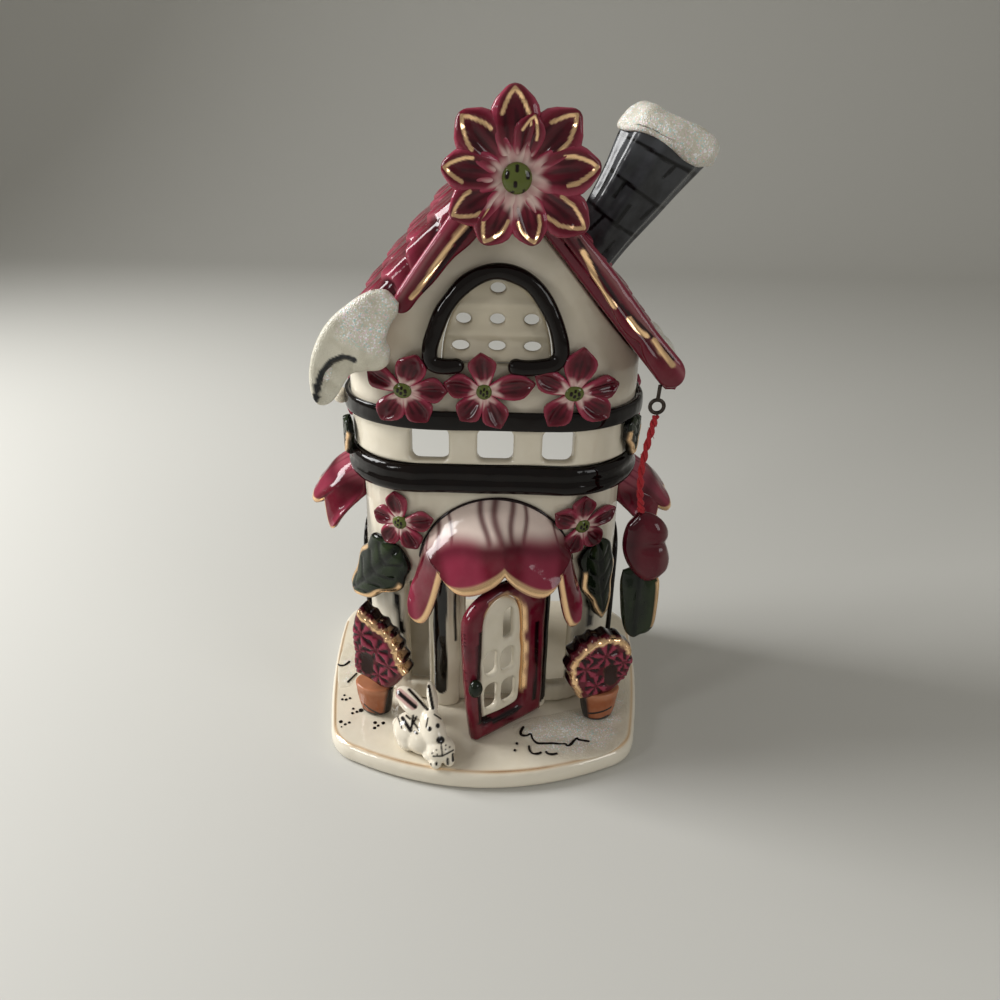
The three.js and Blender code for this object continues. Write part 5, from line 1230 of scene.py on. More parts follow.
# Awnings: shells pinched into petals, one over the door and one over each side window. Pale at
# the wall, with brushed crimson streaks, deep crimson at the lobed edge, and a line of gold.
AWNING_WALL = 3.4
AWNING_SPAN = 0.7
DOOR_HOOD = dict(
    half=26.5, edge_half=29.4, flare=0.08, sweep=95, out=19.0, drop=20.3, tip_drop=44.8, lobe=10.8, shift=3.4
)
SIDE_HOOD = dict(
    half=14.0, edge_half=18.2, flare=0.1, sweep=90, out=19.0, drop=18.0, tip_drop=28.0, lobe=6.3, shift=0.0
)
HOOD_STREAKS = [
    (-0.84, 0.3, 0.022), (-0.66, 0.36, 0.02), (-0.52, 0.38, 0.024), (-0.4, 0.5, 0.012), (-0.12, 0.32, 0.022),
    (-0.02, 0.24, 0.03), (0.1, 0.34, 0.022), (0.2, 0.4, 0.016), (0.5, 0.4, 0.014), (0.64, 0.36, 0.018),
    (0.8, 0.3, 0.018),
]


def hood(u, v, stand, half, edge_half, flare, sweep, out, drop, tip_drop, lobe, shift):
    """A point of an awning, in its own frame (x across, y out of the wall, z up, from the
    middle of its arch on the wall): v runs from the lobed edge (0) to the wall (1), and u
    from -1 to 1 across. It falls in a curve that swells outwards, more in each lobe. Past
    its span, at each side, a longer tail hangs."""
    t = 1 - v
    turn = math.radians(sweep) * u
    past = np.maximum(np.abs(u) - AWNING_SPAN, 0) / (1 - AWNING_SPAN)
    lobes = np.abs(np.sin(np.pi * u / AWNING_SPAN)) ** 0.8
    edge_x = edge_half * u * (1 - flare + flare * u**4) + shift * (1 - u**2)
    edge_out = out * (1 - 0.5 * np.abs(u) ** 2.5)
    fall = np.where(past > 0, (tip_drop - drop) * np.sin(np.pi / 2 * past * 1.35), lobe * lobes)
    stand = stand + np.sin(np.pi * t) * 3 + np.where(past > 0, 0.3 * past, lobes) * t**1.3 * 5.4
    wall_x, wall_z = half * np.sin(turn), half * np.cos(turn)
    x = wall_x + (edge_x - wall_x) * t + stand * 0.75 * np.sin(turn)
    y = -2.0 + (edge_out + 2.0) * t + stand * 0.5
    z = wall_z + (half - drop - fall - wall_z) * t + stand * 0.8 * np.maximum(np.cos(turn), 0.2)
    return np.stack([x, y, z], -1)


def awning(streaks, spec, pale):
    """The shell as a sleeve: over its outside, round the lobed edge and back up its inside."""
    outside = np.arange(110) < 70
    u, v = grid(np.linspace(-1, 1, 150), np.append(np.linspace(1, 0, 70), np.linspace(0, 1, 40)))
    edge = quarter(np.minimum(v / 0.09, (1 - np.abs(u)) / 0.04))
    stand = AWNING_WALL / 2 + np.where(outside, 1, -1) * AWNING_WALL / 2 * edge
    shape = hood(u, v, stand + np.where(outside, 0.25 * wobble(u * 9, v * 5, 2), 0), **spec)
    height = hood(u, v, stand, **spec)[..., 2]
    line = spec["half"] * (0.68 - 0.45 * u**2 + 0.06 * u + 0.02 * np.sin(u * 13))
    deep = 1 - smooth(-2.6, 3.4, height - line)
    marks = np.zeros(u.shape)
    for at, low, wide in streaks:
        path = at + 0.02 * np.sin(v * 7 + at * 9)
        marks = np.maximum(marks, ridge(u - path, wide) * smooth(low, low + 0.1, v))
    lobes = smooth(0.55, 0.9, np.abs(np.sin(np.pi * u / AWNING_SPAN)))
    paint = {
        "thin": pale * (1 - deep) * (1 - 0.75 * marks),
        "pooled": 0.5 * marks * (1 - deep) + 0.5 * deep * ridge(height - line + 2.5, 2.2),
        "rose": (1 - pale) * (1 - deep) + 0.5 * deep * lobes,
        "gold": ridge(((v - 0.035) / 0.035) ** 2, 1) * smooth(-1.2, -0.9, wobble(u * 9, seed=4)),
    }
    return sleeve(shape, {key: np.clip(value, 0, 1) * outside for key, value in paint.items()})


ARCH_MIDDLE = np.array([2.4, -20.0, 72.0])
shape, faces, paint = awning(HOOD_STREAKS, DOOR_HOOD, 1.0)
turn = np.linspace(-1.45, 1.45, 90)
rim = np.stack([2.4 + 29.0 * np.sin(turn), np.full(90, -20.5), 72.0 + 28.9 * np.cos(turn)], -1)
rim_rod = rod(rim, blunt(rim, 0.55) * (1 + 0.3 * wobble(turn * 6)), 8, paint={"stroke": 1.0})
door_hood = [(ARCH_MIDDLE + shape * [1, -1, 1], faces, paint), rim_rod]
make_piece("door_hood", door_hood, crimson_glaze, "door_awning")
for word, side in SIDES.items():
    name = "side_awning_" + word
    shape, faces, paint = awning(HOOD_STREAKS[1:], SIDE_HOOD, 0.22)
    x, y, z = np.moveaxis(shape, -1, 0)
    shape = np.stack([side * (HOUSE_HALF_WIDTH + y), SIDE_WINDOW_Y + side * x, 92.0 + z], -1)
    make_piece(name + "_hood", [(shape, faces, paint)], crimson_glaze, name)

# Frames round the side windows: a roll of clay pressed on round each opening, wavy from the
# fingers, under black glaze.
FRAME_HALF = 9.6
for word, side in SIDES.items():
    name = "side_window_frame_" + word
    leg, turn = np.linspace(27.0, 63.5, 24), np.linspace(np.pi, 0, 40)
    y = [np.full(24, -FRAME_HALF), FRAME_HALF * np.cos(turn), np.full(24, FRAME_HALF)]
    y = SIDE_WINDOW_Y + np.concatenate(y + [np.linspace(8.0, -8.0, 14)])
    z = [leg, 64.2 + FRAME_HALF * np.sin(turn), leg[::-1], np.full(14, 26.4)]
    path = np.stack([np.full(len(y), side * 51.1), y, np.concatenate(z)], -1)
    across, rise = frames_along(path, (1, 0, 0))
    section = circle(18)[None, :, None]
    wide = 1.75 * (1 + 0.14 * wobble(np.linspace(0, 24, len(path)), seed=side))[:, None, None]
    shape = path[:, None] + across[:, None] * np.cos(section) * wide + rise[:, None] * np.sin(section) * 1.25
    make_piece(name + "_roll", [sleeve(shape, ring=True)], black_glaze, name)


# Leaves: flat leaves of clay laid on the walls and bent round the corners, veined with a
# tool, dark green glaze pooling in the veins, and a wavy line of gold along both edges.
green_glaze = glazed(
    "green_glaze", "11190f", "3d4c2b", "050805", "030503", rough=0.09, spread=0.8, drift=0.25, ior=1.36
)
LEAF_VEINS = 5
LEAVES = {
    "door_leaf_left": (-44.6, 0.3, 65.6, 35.0, 22.0, -0.66, 0.8, 6.0),
    "door_leaf_right": (42.6, 0.3, 64.6, 37.0, 17.0, 0.1, 0.72, 2.0),
    "corner_leaf_left": (-56.8, 3.8, 118.0, 16.0, 9.4, 0.0, 0.88, 0.0),
    "corner_leaf_right": (51.5, 3.8, 122.6, 16.5, 10.4, 0.0, 0.88, 0.0),
}


def leaf(at_s, out, at_z, length, width, tilt, gold_wide, off):
    """A pointed leaf, its length (v) downwards: a closed pad, thickest along its middle, with
    rippled edges; veins run from the middle outwards and down. Its tip stands off the wall."""
    v, turn = grid(np.linspace(0, 1, 90), circle(72))
    u = squared(np.cos(turn), 0.8)
    above, edge = np.sin(turn) > 0, np.abs(u)
    half = width / 2 * np.sin(np.pi * v**0.6) ** 0.7 * (1 + 0.09 * np.sin(v * 17 + np.sign(u)))
    half = half * np.sqrt(np.clip(1 - ((v - 0.5) / 0.5) ** 8, 0, 1))
    swell = np.abs(np.sin(turn)) ** 0.6
    veined = 0.35 * ridge(np.mod((v + 0.28 * edge) * LEAF_VEINS, 1) - 0.5, 0.11) * (edge < 0.7)
    spine = 0.5 * ridge(u, 0.09)
    thick = 2.6 - veined - spine + 0.35 * smooth(0.55, 0.8, edge)
    lift = swell * np.where(above, thick, -0.5) * np.clip(np.minimum(v, 1 - v) * 9, 0, 1) ** 0.5
    across, down = u * half, (0.5 - v) * length
    x = across * math.cos(tilt) - down * math.sin(tilt)
    z = across * math.sin(tilt) + down * math.cos(tilt)
    line = ridge((((1 - edge) * half - 1.3) / gold_wide) ** 2, 1)
    line = line * smooth(0.3, 0.36, v) * (1 - smooth(0.97, 0.995, v))
    paint = {
        "gold": line * smooth(-0.95, -0.85, np.sin(v * 23 + 2 * np.sign(u)) + 0.2),
        "stroke": np.clip(veined * 3 + spine * 1.6, 0, 1) * (1 - line),
        "thin": 0.35 * ridge(edge - 0.35, 0.2) * (0.5 + 0.5 * np.sin(v * 9)),
        "pooled": smooth(0.86, 0.97, edge),
    }
    shape = around(at_s + x, out + 0.9 + off * v**2 + lift, at_z + z)
    return sleeve(shape, {key: value * above for key, value in paint.items()})


for name, spec in LEAVES.items():
    make_piece(name + "_veined", [leaf(*spec)], green_glaze, name)

# Door posts: half-round rolls either side of the doorway, under ivory glaze, each with thick
# strokes of black glaze down it.
POST_LINES = {
    -1: [
        ([(-2.2, 17), (-2.0, 30), (-2.4, 46), (-1.8, 58), (-2.3, 68)], 5.2),
        ([(3.9, 40), (3.6, 55), (4.0, 66)], 0.9),
    ],
    1: [([(2.8, 13), (3.2, 30), (2.7, 46), (3.1, 66)], 4.6), ([(-3.4, 30), (-3.0, 58)], 0.8)],
}
for word, side in SIDES.items():
    name = "door_post_" + word
    up = np.concatenate([[8.35, 8.35, 8.6], np.linspace(9.4, 68.0, 80), [69.2, 69.9, 70.2, 70.2]])
    draw = np.interp(up, [8.35, 9.4, 68, 69.2, 70.2], [0.96, 1, 1, 0.93, 0.6])
    draw[0] = draw[-1] = 0
    up, turn = grid(up, circle(64))
    across = 5.3 * np.cos(turn) * draw[:, None] * (1 + 0.04 * wobble(up / 9, turn, side))
    deep = np.where(np.sin(turn) > 0, 3.6, 0.6) * np.sin(turn) * draw[:, None]
    shape = np.stack([0.9 + side * 17.6 + across, -20.4 - deep, up], -1)
    strokes = brushed(np.stack([across, up], -1), POST_LINES[side]) * (np.sin(turn) > 0)
    make_piece(name + "_roll", [sleeve(shape, {"stroke": strokes})], ivory_glaze, name)

# Door: a thick frame round a pierced panel, standing ajar, its edges smoothed round under
# crimson glaze, with gold lustre along the opening. A dark knob sits on its left stile.
DOOR_HINGE = np.array([19.0, -20.0, 8.3])
DOOR_SWING = math.radians(38)
DOOR_HALF = 17.0
DOOR_TALL = 65.5
DOOR_HEAD = 13.0
DOOR_BOW = 4.0
PANEL = [
    (-29.6, 8.6), (-21.0, 8.4), (-12.2, 9.4), (-11.2, 18.0), (-10.9, 30.0), (-11.8, 46.0), (-13.4, 55.4),
    (-17.4, 59.8), (-22.0, 61.2), (-26.6, 59.6), (-29.4, 54.8), (-30.4, 43.0), (-30.6, 26.0),
]
DOOR_STROKES = [
    [(-5.0, 8), (-4.6, 22), (-5.2, 44)],
    [(-32.0, 50), (-32.4, 30), (-31.6, 9), (-24, 6.4), (-12, 7.0)],
]


def on_door(p):
    """From the door's own frame (x from the hinge edge, -y outwards, z up) to the house."""
    x, y, z = np.moveaxis(p, -1, 0)
    sine, cosine = math.sin(DOOR_SWING), math.cos(DOOR_SWING)
    return DOOR_HINGE + np.stack([x * cosine - y * sine, x * sine + y * cosine, z], -1)


def door_outline(inset):
    """The door's outline drawn in by an inset: straight on the hinge side, bowed out on the
    other, with a high arched head."""
    half, spring, head = DOOR_HALF - inset, DOOR_TALL - DOOR_HEAD, DOOR_HEAD - inset * 0.75
    right, left = np.linspace(0, np.pi / 2, 16), np.linspace(np.pi / 2, np.pi, 16)
    x = np.append(half * np.cos(right), (half + DOOR_BOW) * np.cos(left[1:]))
    z = spring + head * np.sin(np.append(right, left[1:]))
    bow = -half - DOOR_BOW * spring / DOOR_TALL
    down = quadratic((-half - DOOR_BOW, spring), (bow, spring * 0.45), (-half, inset), 24)
    loop = np.concatenate([[(-half, inset), (half, inset)], np.stack([x, z], -1), down[1:]])
    return loop - [DOOR_HALF, 0]


hole = closed_curve(PANEL, 120)
slab = cut_slab(door_outline(0.15), [hole], 1.1, 2.4)
x, z = slab.flat.T
to_hole = gap_to_loop(slab.flat, even_loop(hole, 0.6))
gold = 1 - smooth(0.9, 1.4, to_hole + 0.4 * wobble(x / 3, z / 4))
paint = {
    "gold": gold * np.maximum(smooth(55, 58, z), smooth(-15, -13, x) * smooth(12, 16, z)),
    "pooled": 0.55 * smooth(0.4, 0.9, wobble(x / 5, z / 13, 2)),
    "stroke": covered(slab.flat, DOOR_STROKES, 1.9),
    # rose here is a line down the door's left edge: a painted highlight.
    "rose": 0.9 * ridge(x + 0.14 * np.abs(z - 38) + 40.4, 1.1) * smooth(20, 30, z),
}
outer = on_door(upright(slab, -6.4 + 1.15 * slab.sink - 0.3 * wobble(x / 7, z / 9, 8)))
inner = on_door(upright(slab, -0.1 - 1.15 * slab.sink))
door_clay = both_faces(slab, outer, inner, paint)
make_piece("door_clay", [door_clay], crimson_glaze, "door_frame")
openings = [
    round_box(-19.8, -15.6, 41.5, 54.5, 1.6),
    round_box(-28.4, -22.8, 27.6, 38.6, 2.4),
    round_box(-20.6, -14.6, 26.4, 37.2, 2.4),
    round_box(-28.2, -22.4, 11.6, 23.4, 2.4),
    round_box(-20.0, -13.6, 11.4, 22.4, 2.4),
]
slab = cut_slab(hole + (np.array([-21.0, 35.0]) - hole) * 0.012, openings, 1.0, 1.3)
x, z = slab.flat.T
outer = on_door(upright(slab, -4.7 + slab.sink + 0.35 * wobble(x / 4, z / 4)))
door_panel = both_faces(slab, outer, on_door(upright(slab, -1.8 - slab.sink)))
make_piece("door_panel", [door_panel], ivory_glaze, "door_lattice")
KNOB_PROFILE = [(2.4, 0), (2.7, 0.7), (2.7, 1.6), (2.3, 2.5), (1.7, 3.1), (0.9, 3.4), (0, 3.5)]
profile = np.vstack([[0, 0], curve_through(KNOB_PROFILE, 13)])
radius, turn = grid(profile[:, 0], circle(28))
y = -6.3 - profile[:, 1:] + 0 * turn
knob = np.stack([-35.0 + radius * np.cos(turn), y, 27.6 + 1.35 * radius * np.sin(turn)], -1)
door_button = sleeve(on_door(knob), {"pooled": 0.6})
make_piece("door_button", [door_button], green_glaze, "door_knob")

# Planters at the front corners: a flattened terracotta pot, and over it a thick pad of flower
# heads scratched as stars into crimson glaze, with a gold scalloped edge and a black side.
terracotta_glaze = glazed(
    "terracotta_glaze", "98532f", "c08462", "532010", "160c0a", rough=0.16, spread=0.8, drift=0.5
)
PLANTERS = {
    "left": {
        "at": (-43.5, -27.0, 37.5),
        "turn": math.radians(-20.0),
        "outline": [
            (-7.8, -9.5), (-8.2, -2), (-8.3, 6), (-7.8, 12.5), (-6.4, 17.5), (-4.2, 20.4), (-2.2, 18.0),
            (0.0, 17.6), (1.9, 15.0), (4.6, 14.6), (6.2, 11.6), (8.8, 10.6), (9.6, 7.8), (11.8, 5.8),
            (11.9, 2.8), (13.8, 0.6), (13.4, -2.2), (15.0, -4.8), (12.8, -7.6), (10.4, -11.2), (7.4, -14.2),
            (3.9, -14.6), (-0.7, -12.6), (-4.6, -11.2),
        ],
        "gold": [
            (-4.4, 18.2), (-2.6, 16.6), (-0.3, 15.4), (2.1, 13.4), (4.4, 12.0), (7.2, 9.7), (9.2, 7.9),
            (10.5, 5.0), (11.7, 2.0), (12.7, -1.9), (13.7, -4.6),
        ],
        "green": [(-1.8, -1.0), (-1.6, -6.2)],
        "stars": [
            (-3.6, 9.6, 5.0, 0.2), (-5.0, 1.4, 4.4, 0.9), (2.6, 3.6, 5.4, 0.4), (7.6, -2.6, 4.8, 1.4),
            (3.0, -8.0, 4.6, 0.0), (-5.4, -6.0, 3.6, 0.7),
        ],
        "grooves": [[(-4.2, 16.2), (-1.4, 14.7), (1.6, 13.0)], [(-5.0, 11.4), (-2.0, 10.4), (0.6, 9.8)]],
        "dark_from": 3.4,
        "inward": 1,
    },
    "right": {
        "at": (43.5, -27.0, 33.9),
        "turn": math.radians(17.0),
        "outline": [
            (-9.2, -12.6), (-11.6, -8.2), (-13.2, -5.4), (-12.9, -1.6), (-14.3, 1.6), (-13.0, 4.8),
            (-13.3, 8.2), (-10.8, 9.8), (-9.6, 12.4), (-6.6, 12.6), (-4.6, 14.6), (-1.6, 14.0), (1.2, 15.2),
            (4.0, 13.6), (7.2, 13.2), (9.2, 10.6), (11.8, 8.4), (12.4, 4.6), (13.2, 1.0), (12.0, -2.4),
            (11.2, -5.8), (8.4, -8.8), (5.4, -11.6), (1.8, -12.9), (-2.6, -13.4), (-6.2, -13.8),
        ],
        "gold": [
            (-8.9, -11.6), (-9.6, -9.4), (-11.0, -5.7), (-12.0, -1.6), (-12.0, 2.8), (-11.0, 6.0),
            (-9.2, 8.6), (-6.8, 10.4), (-4.0, 12.0), (-1.0, 12.7), (3.0, 12.8), (6.8, 11.3),
            (9.6, 8.7), (11.2, 5.7),
        ],
        "green": [(3.2, -0.5), (3.8, -5.6)],
        "stars": [
            (0.6, 6.3, 5.4, 0.3), (-6.9, 1.0, 5.4, 0.8), (8.4, 2.2, 4.6, 0.1), (-2.4, -7.4, 4.8, 0.5),
            (9.0, -4.6, 3.6, 1.2), (-6.6, 7.6, 3.6, 1.0),
        ],
        "grooves": [[(-3.6, 15.6), (0.2, 16.6), (5.2, 17.6)], [(-3.0, 11.6), (0.6, 12.6), (4.2, 13.4)]],
        "dark_from": -3.4,
        "inward": -1,
    },
}


def in_plane(at, turn, a, b, out):
    """Places a right, b up and out mm forwards in an upright plane, turned about the vertical."""
    a, b, out = np.broadcast_arrays(a, b, out)
    sine, cosine = math.sin(turn), math.cos(turn)
    return at + np.stack([a * cosine + out * sine, a * sine - out * cosine, b], -1)


def flower_heads(spec):
    """A thick pad in the planter's plane. Each star's six rays stand up, its gaps are cut in."""
    slab = cut_slab(closed_curve(spec["outline"], 140), [], 0.62, 2.2)
    a, b = slab.flat.T
    light, dark = np.zeros(len(a)), np.zeros(len(a))
    for x, z, radius, phase in spec["stars"]:
        reach = np.hypot(a - x, b - z) / radius
        angle = 3 * (np.arctan2(b - z, a - x) + phase)
        star = 1 - smooth(0.92, 1.04, reach)
        rays = smooth(0.55, 0.85, np.abs(np.cos(angle))) * smooth(0.1, 0.25, reach)
        gaps = smooth(0.75, 0.95, np.abs(np.sin(angle))) * smooth(0.2, 0.4, reach)
        light, dark = np.maximum(light, star * rays), np.maximum(dark, star * gaps)
    light = light * (1 - dark)
    gold = covered(slab.flat, [spec["gold"]], 1.9)
    green = covered(slab.flat, [spec["green"]], 5.2)
    field = (1 - green) * (1 - gold)
    side_wall = smooth(0.8, 1.9, slab.sink)
    out = 4.8 + 0.7 * wobble(a / 5, b / 6, 9) + field * (0.35 * light - 0.3 * dark) + 0.5 * gold
    outer = in_plane(spec["at"], spec["turn"], a, b, out - 1.3 * slab.sink)
    inner = in_plane(spec["at"], spec["turn"], a, b, slab.sink - 4.2)
    paint = {
        "rose": field * 0.8 * light * (1 - side_wall),
        "pooled": field * (0.3 + 0.7 * dark) * (1 - 0.8 * light),
        "green": green * 0.3,
        "stroke": np.max([green * 0.85, side_wall, 0.7 * dark * field], 0) * (1 - gold),
        "gold": gold,
    }
    shape, faces, paint = both_faces(slab, outer, inner, paint)
    paint["stroke"][len(a) :] = 1.0
    return shape, faces, paint


def pot(spec):
    """A pot turned oval, from its foot up and in over its rim, with grooves brushed black."""
    wall = np.linspace(9.3, 20.6, 40)
    up = np.concatenate([[8.35, 8.35, 8.7], wall, [21.3, 21.7, 21.6, 21.6]])
    reach = np.interp(wall, [9.3, 12, 17, 20.6], [6.3, 6.9, 7.7, 8.1])
    reach = np.concatenate([[0, 5.4, 6.0], reach, [8.1, 7.6, 6.6, 0]])[:, None]
    up, turn = grid(up, circle(96) - np.pi)
    inward = spec["inward"]
    a = reach * np.cos(turn) * (1 + 0.03 * wobble(up / 4, turn * 2)) - 1.5 * inward
    out = -0.72 * reach * np.sin(turn)
    grooves = covered(np.stack([a, up + 3.4], -1), spec["grooves"], 0.9) * (out > 0)
    dark = smooth(0.0, 1.4, (a - spec["dark_from"]) * inward - 0.18 * (up - 14))
    paint = {
        "stroke": np.max([grooves, dark, 1 - smooth(9.2, 10.2, up)], 0),
        "thin": 0.5 * smooth(18.5, 20.5, up),
    }
    return sleeve(in_plane(spec["at"], spec["turn"], a, up - spec["at"][2], out), paint)


for word, spec in PLANTERS.items():
    heads = [flower_heads(spec)]
    make_piece("planter_heads_" + word, heads, crimson_glaze, "pot_bloom_" + word)
    make_piece("planter_pot_" + word, [pot(spec)], terracotta_glaze, "pot_" + word)


# Rabbit: crouching on the plate, its head low and forwards and its ears laid back, pinched
# from a few balls of clay and smoothed together, under white glaze with brushed black marks.
def ellipsoid(middle, radii, ahead=(1, 0, 0), up=(0, 0, 1), steps=20):
    """A ball stretched along three directions: ahead, to the side, and nearest to up."""
    ahead = np.array(ahead, float) / np.linalg.norm(ahead)
    beside = np.cross(up, ahead)
    beside /= np.linalg.norm(beside)
    axes = np.stack([ahead, beside, np.cross(ahead, beside)])
    polar, turn = grid(np.linspace(0, np.pi, steps), circle(steps * 2))
    ball = np.stack([np.cos(polar), np.sin(polar) * np.cos(turn), np.sin(polar) * np.sin(turn)], -1)
    return sleeve(np.array(middle) + ball * np.array(radii) @ axes)


def fused(parts, voxel, rounds):
    """Overlapping closed parts as one skin (voxels of a size in mm), smoothed by some rounds."""
    mesh = joined_mesh("fused", parts, 1)
    blank = bpy.data.objects.new("fused", mesh)
    bpy.context.scene.collection.objects.link(blank)
    blank.modifiers.new("skin", "REMESH").voxel_size = voxel
    soften = blank.modifiers.new("soften", "SMOOTH")
    soften.factor, soften.iterations = 0.5, rounds
    done = blank.evaluated_get(bpy.context.evaluated_depsgraph_get()).to_mesh()
    spots = np.empty(len(done.vertices) * 3)
    done.vertices.foreach_get("co", spots)
    skin = [list(face.vertices) for face in done.polygons]
    bpy.data.objects.remove(blank)
    bpy.data.meshes.remove(mesh)
    return spots.reshape(-1, 3), skin


RABBIT_FOOT = 8.35
RABBIT_BODY = [
    ellipsoid((-28.4, -45.2, 14.2), (7.6, 6.8, 6.6), (0.7, -0.6, 0.1)),
    ellipsoid((-24.2, -48.8, 13.4), (7.0, 6.0, 6.0), (0.6, -0.7, 0)),
    ellipsoid((-29.6, -48.0, 11.8), (5.0, 4.0, 4.2), (0.75, -0.6, -0.1)),
    ellipsoid((-19.6, -50.2, 18.2), (8.4, 4.6, 4.9), (0.34, -0.64, -0.68)),
    ellipsoid((-16.4, -54.6, 13.4), (5.0, 5.4, 4.2), (0.36, -0.8, -0.4)),
    ellipsoid((-19.0, -53.4, 11.0), (5.0, 4.8, 3.6), (0.5, -0.8, 0)),
    ellipsoid((-18.4, -57.6, 9.9), (3.2, 2.3, 2.2), (0.35, -0.9, 0)),
    ellipsoid((-13.6, -56.2, 9.9), (3.2, 2.3, 2.2), (0.35, -0.9, 0)),
    ellipsoid((-34.0, -39.6, 12.2), (2.6, 2.6, 2.4)),
    ellipsoid((-28.4, -42.6, 25.0), (8.2, 4.2, 1.8), (-0.7, 0.62, 0.36), (0.1, -0.6, 0.8)),
    ellipsoid((-20.6, -41.6, 26.8), (6.6, 2.5, 1.8), (-0.2, 0.85, 0.5), (0.8, -0.4, 0.5)),
]
NOSE = np.array([-16.6, -54.4, 17.4])
LOOK = np.array([-0.071, 0.744, -0.664])
BESIDE = np.array([0.9955, 0.0951, 0.0])
RABBIT_MARKS = [
    ([(-15.6, 18.0), (-9.3, 12.4)], 1.5), ([(-11.5, 18.9), (-4.7, 11.3)], 1.1),
    ([(-4.0, 19.8), (-2.6, 11.6)], 1.2), ([(-4.5, 8.0), (-5.2, 4.9)], 0.5),
    ([(-2.1, 9.3), (0.3, 7.6)], 0.5), ([(-3.9, 4.0), (-3.9, 4.3)], 1.4),
    ([(-0.9, 5.0), (-0.9, 5.3)], 1.4), ([(-0.2, 0.0), (0.2, 0.0)], 2.6),
    ([(0.2, -1.5), (0.6, -5.4)], 0.5), ([(-2.8, -5.6), (0.6, -5.6), (4.7, -3.8)], 0.5),
    ([(-3.9, -8.8), (-3.9, -8.4)], 0.9), ([(-1.7, -8.5), (-1.7, -8.1)], 0.9),
    ([(2.5, -6.8), (2.5, -8.6)], 0.8), ([(4.5, -5.2), (4.5, -7.5)], 0.8),
    ([(-14.2, 8.6), (-11.1, 3.9)], 1.3), ([(-12.7, 9.4), (-11.3, 8.2)], 0.8),
    ([(-10.0, 9.1), (-11.0, 3.9)], 0.8), ([(-8.9, 8.7), (-10.3, 6.0)], 0.7),
    ([(-9.9, 6.8), (-8.0, 4.1)], 0.7), ([(-9.6, 3.4), (-8.6, 2.7)], 0.8),
    ([(-16.4, 10.1), (-14.4, 4.9)], 0.5),
]
FRECKLES = ((-1.6, -3.4), (-3.2, -4.5), (-1.4, -5.0), (1.9, -1.9), (3.3, -2.6), (1.8, -3.4))
white_glaze = glazed("white_glaze", "e6ddca", "f1ece0", "bfae93", spread=0.5)
spots, skin = fused(RABBIT_BODY, 0.42, 5)
spots[:, 2] = np.maximum(spots[:, 2], RABBIT_FOOT)
away = spots - NOSE
flat = np.stack([away @ BESIDE, away @ np.cross(BESIDE, LOOK)], -1)
marks = brushed(flat, RABBIT_MARKS + [([(a, b), (a + 0.1, b)], 0.5) for a, b in FRECKLES])
marks *= (away @ LOOK - 0.5 * flat[:, 1] < 6) | (flat[:, 1] > 11)
flush = 0.55 * covered(flat, [[(-15.4, 17.8), (-10.0, 13.0)]], 3.4) * (flat[:, 1] > 11)
rabbit = (spots, skin, {"stroke": marks, "rose": flush})
make_piece("rabbit_clay", [rabbit], white_glaze, "rabbit", slot="ivory_glaze")


# Wire eye: dark wire bent to a ring and pressed into the tip of the right bargeboard.
def bent_wire(name, colour, edge):
    """Oxidised steel wire: dark, half dull, with drawn lines along it 0.2 mm apart."""
    material, place = new_material(name)
    streaks = add(material, "TexNoise", {"Vector": place, "Scale": 1500.0, "Detail": 2.0}).outputs["Fac"]
    tone = add(material, "Mix", {0: streaks, 6: linear(colour), 7: linear(edge)}, data_type="RGBA")
    bump = add(material, "Bump", {"Strength": 0.3, "Distance": 0.0001, "Height": streaks})
    look = {"Base Color": tone.outputs[2], "Metallic": 1.0, "Roughness": 0.38}
    look["Normal"] = bump.outputs["Normal"]
    shader = add(material, "BsdfPrincipled", look)
    add(material, "OutputMaterial", {"Surface": shader.outputs[0]})
    return material


EYE = np.array([55.12, -28.91, 140.3])
WIRE_RADIUS = 0.66
EYE_RADIUS = 2.3
oxidised_wire = bent_wire("oxidised_wire", "2a2521", "58504a")
turn = np.linspace(0.0, 2 * np.pi, 60)
ring = np.stack([EYE_RADIUS * np.sin(turn), 0.25 * np.sin(turn / 2), EYE_RADIUS * np.cos(turn)], -1)
stem = np.stack([np.linspace(0, 0.3, 10), np.zeros(10), np.linspace(2.2, 7.4, 10)], -1)
wires = [rod(EYE + ring, WIRE_RADIUS), rod(EYE + stem, WIRE_RADIUS)]
make_piece("eye_wire", wires, oxidised_wire, "charm_eye", slot="wire")

# Charm: a flat bud pinched into two lobes, under crimson glaze, stuck over a ribbed green
# leaf whose right edge has gold. It hangs on the yarn and swings on its knot.
CHARM_MIDDLE = -28.9
BUD_OUTLINE = [
    (51.2, 99.0), (52.8, 100.9), (55.0, 101.0), (58.2, 100.2), (61.2, 98.2), (63.4, 95.3),
    (64.2, 92.4), (63.5, 89.3), (64.6, 86.3), (65.6, 82.6), (65.2, 78.8), (63.4, 76.2), (61.6, 74.4),
    (59.0, 73.2), (56.6, 73.5), (54.3, 75.0), (51.9, 77.7), (49.9, 81.1), (48.6, 84.7), (48.0, 88.4),
    (48.2, 92.4), (49.1, 96.0),
]
LEAF_OUTLINE = [
    (49.2, 77.0), (48.7, 71.6), (49.4, 63.8), (50.4, 56.2), (51.9, 51.4), (53.8, 49.0), (55.8, 48.4),
    (57.8, 49.7), (60.1, 50.6), (61.6, 52.2), (62.8, 55.0), (63.2, 60.3), (63.2, 68.1), (62.4, 74.5),
    (58.0, 77.0), (53.0, 78.2),
]
LEAF_GOLD = [(62.6, 75.0), (62.6, 71.2), (62.5, 65.4), (62.4, 59.6), (61.9, 54.8)]
slab = cut_slab(closed_curve(BUD_OUTLINE, 110), [], 0.7, 3.4)
x, z = slab.flat.T
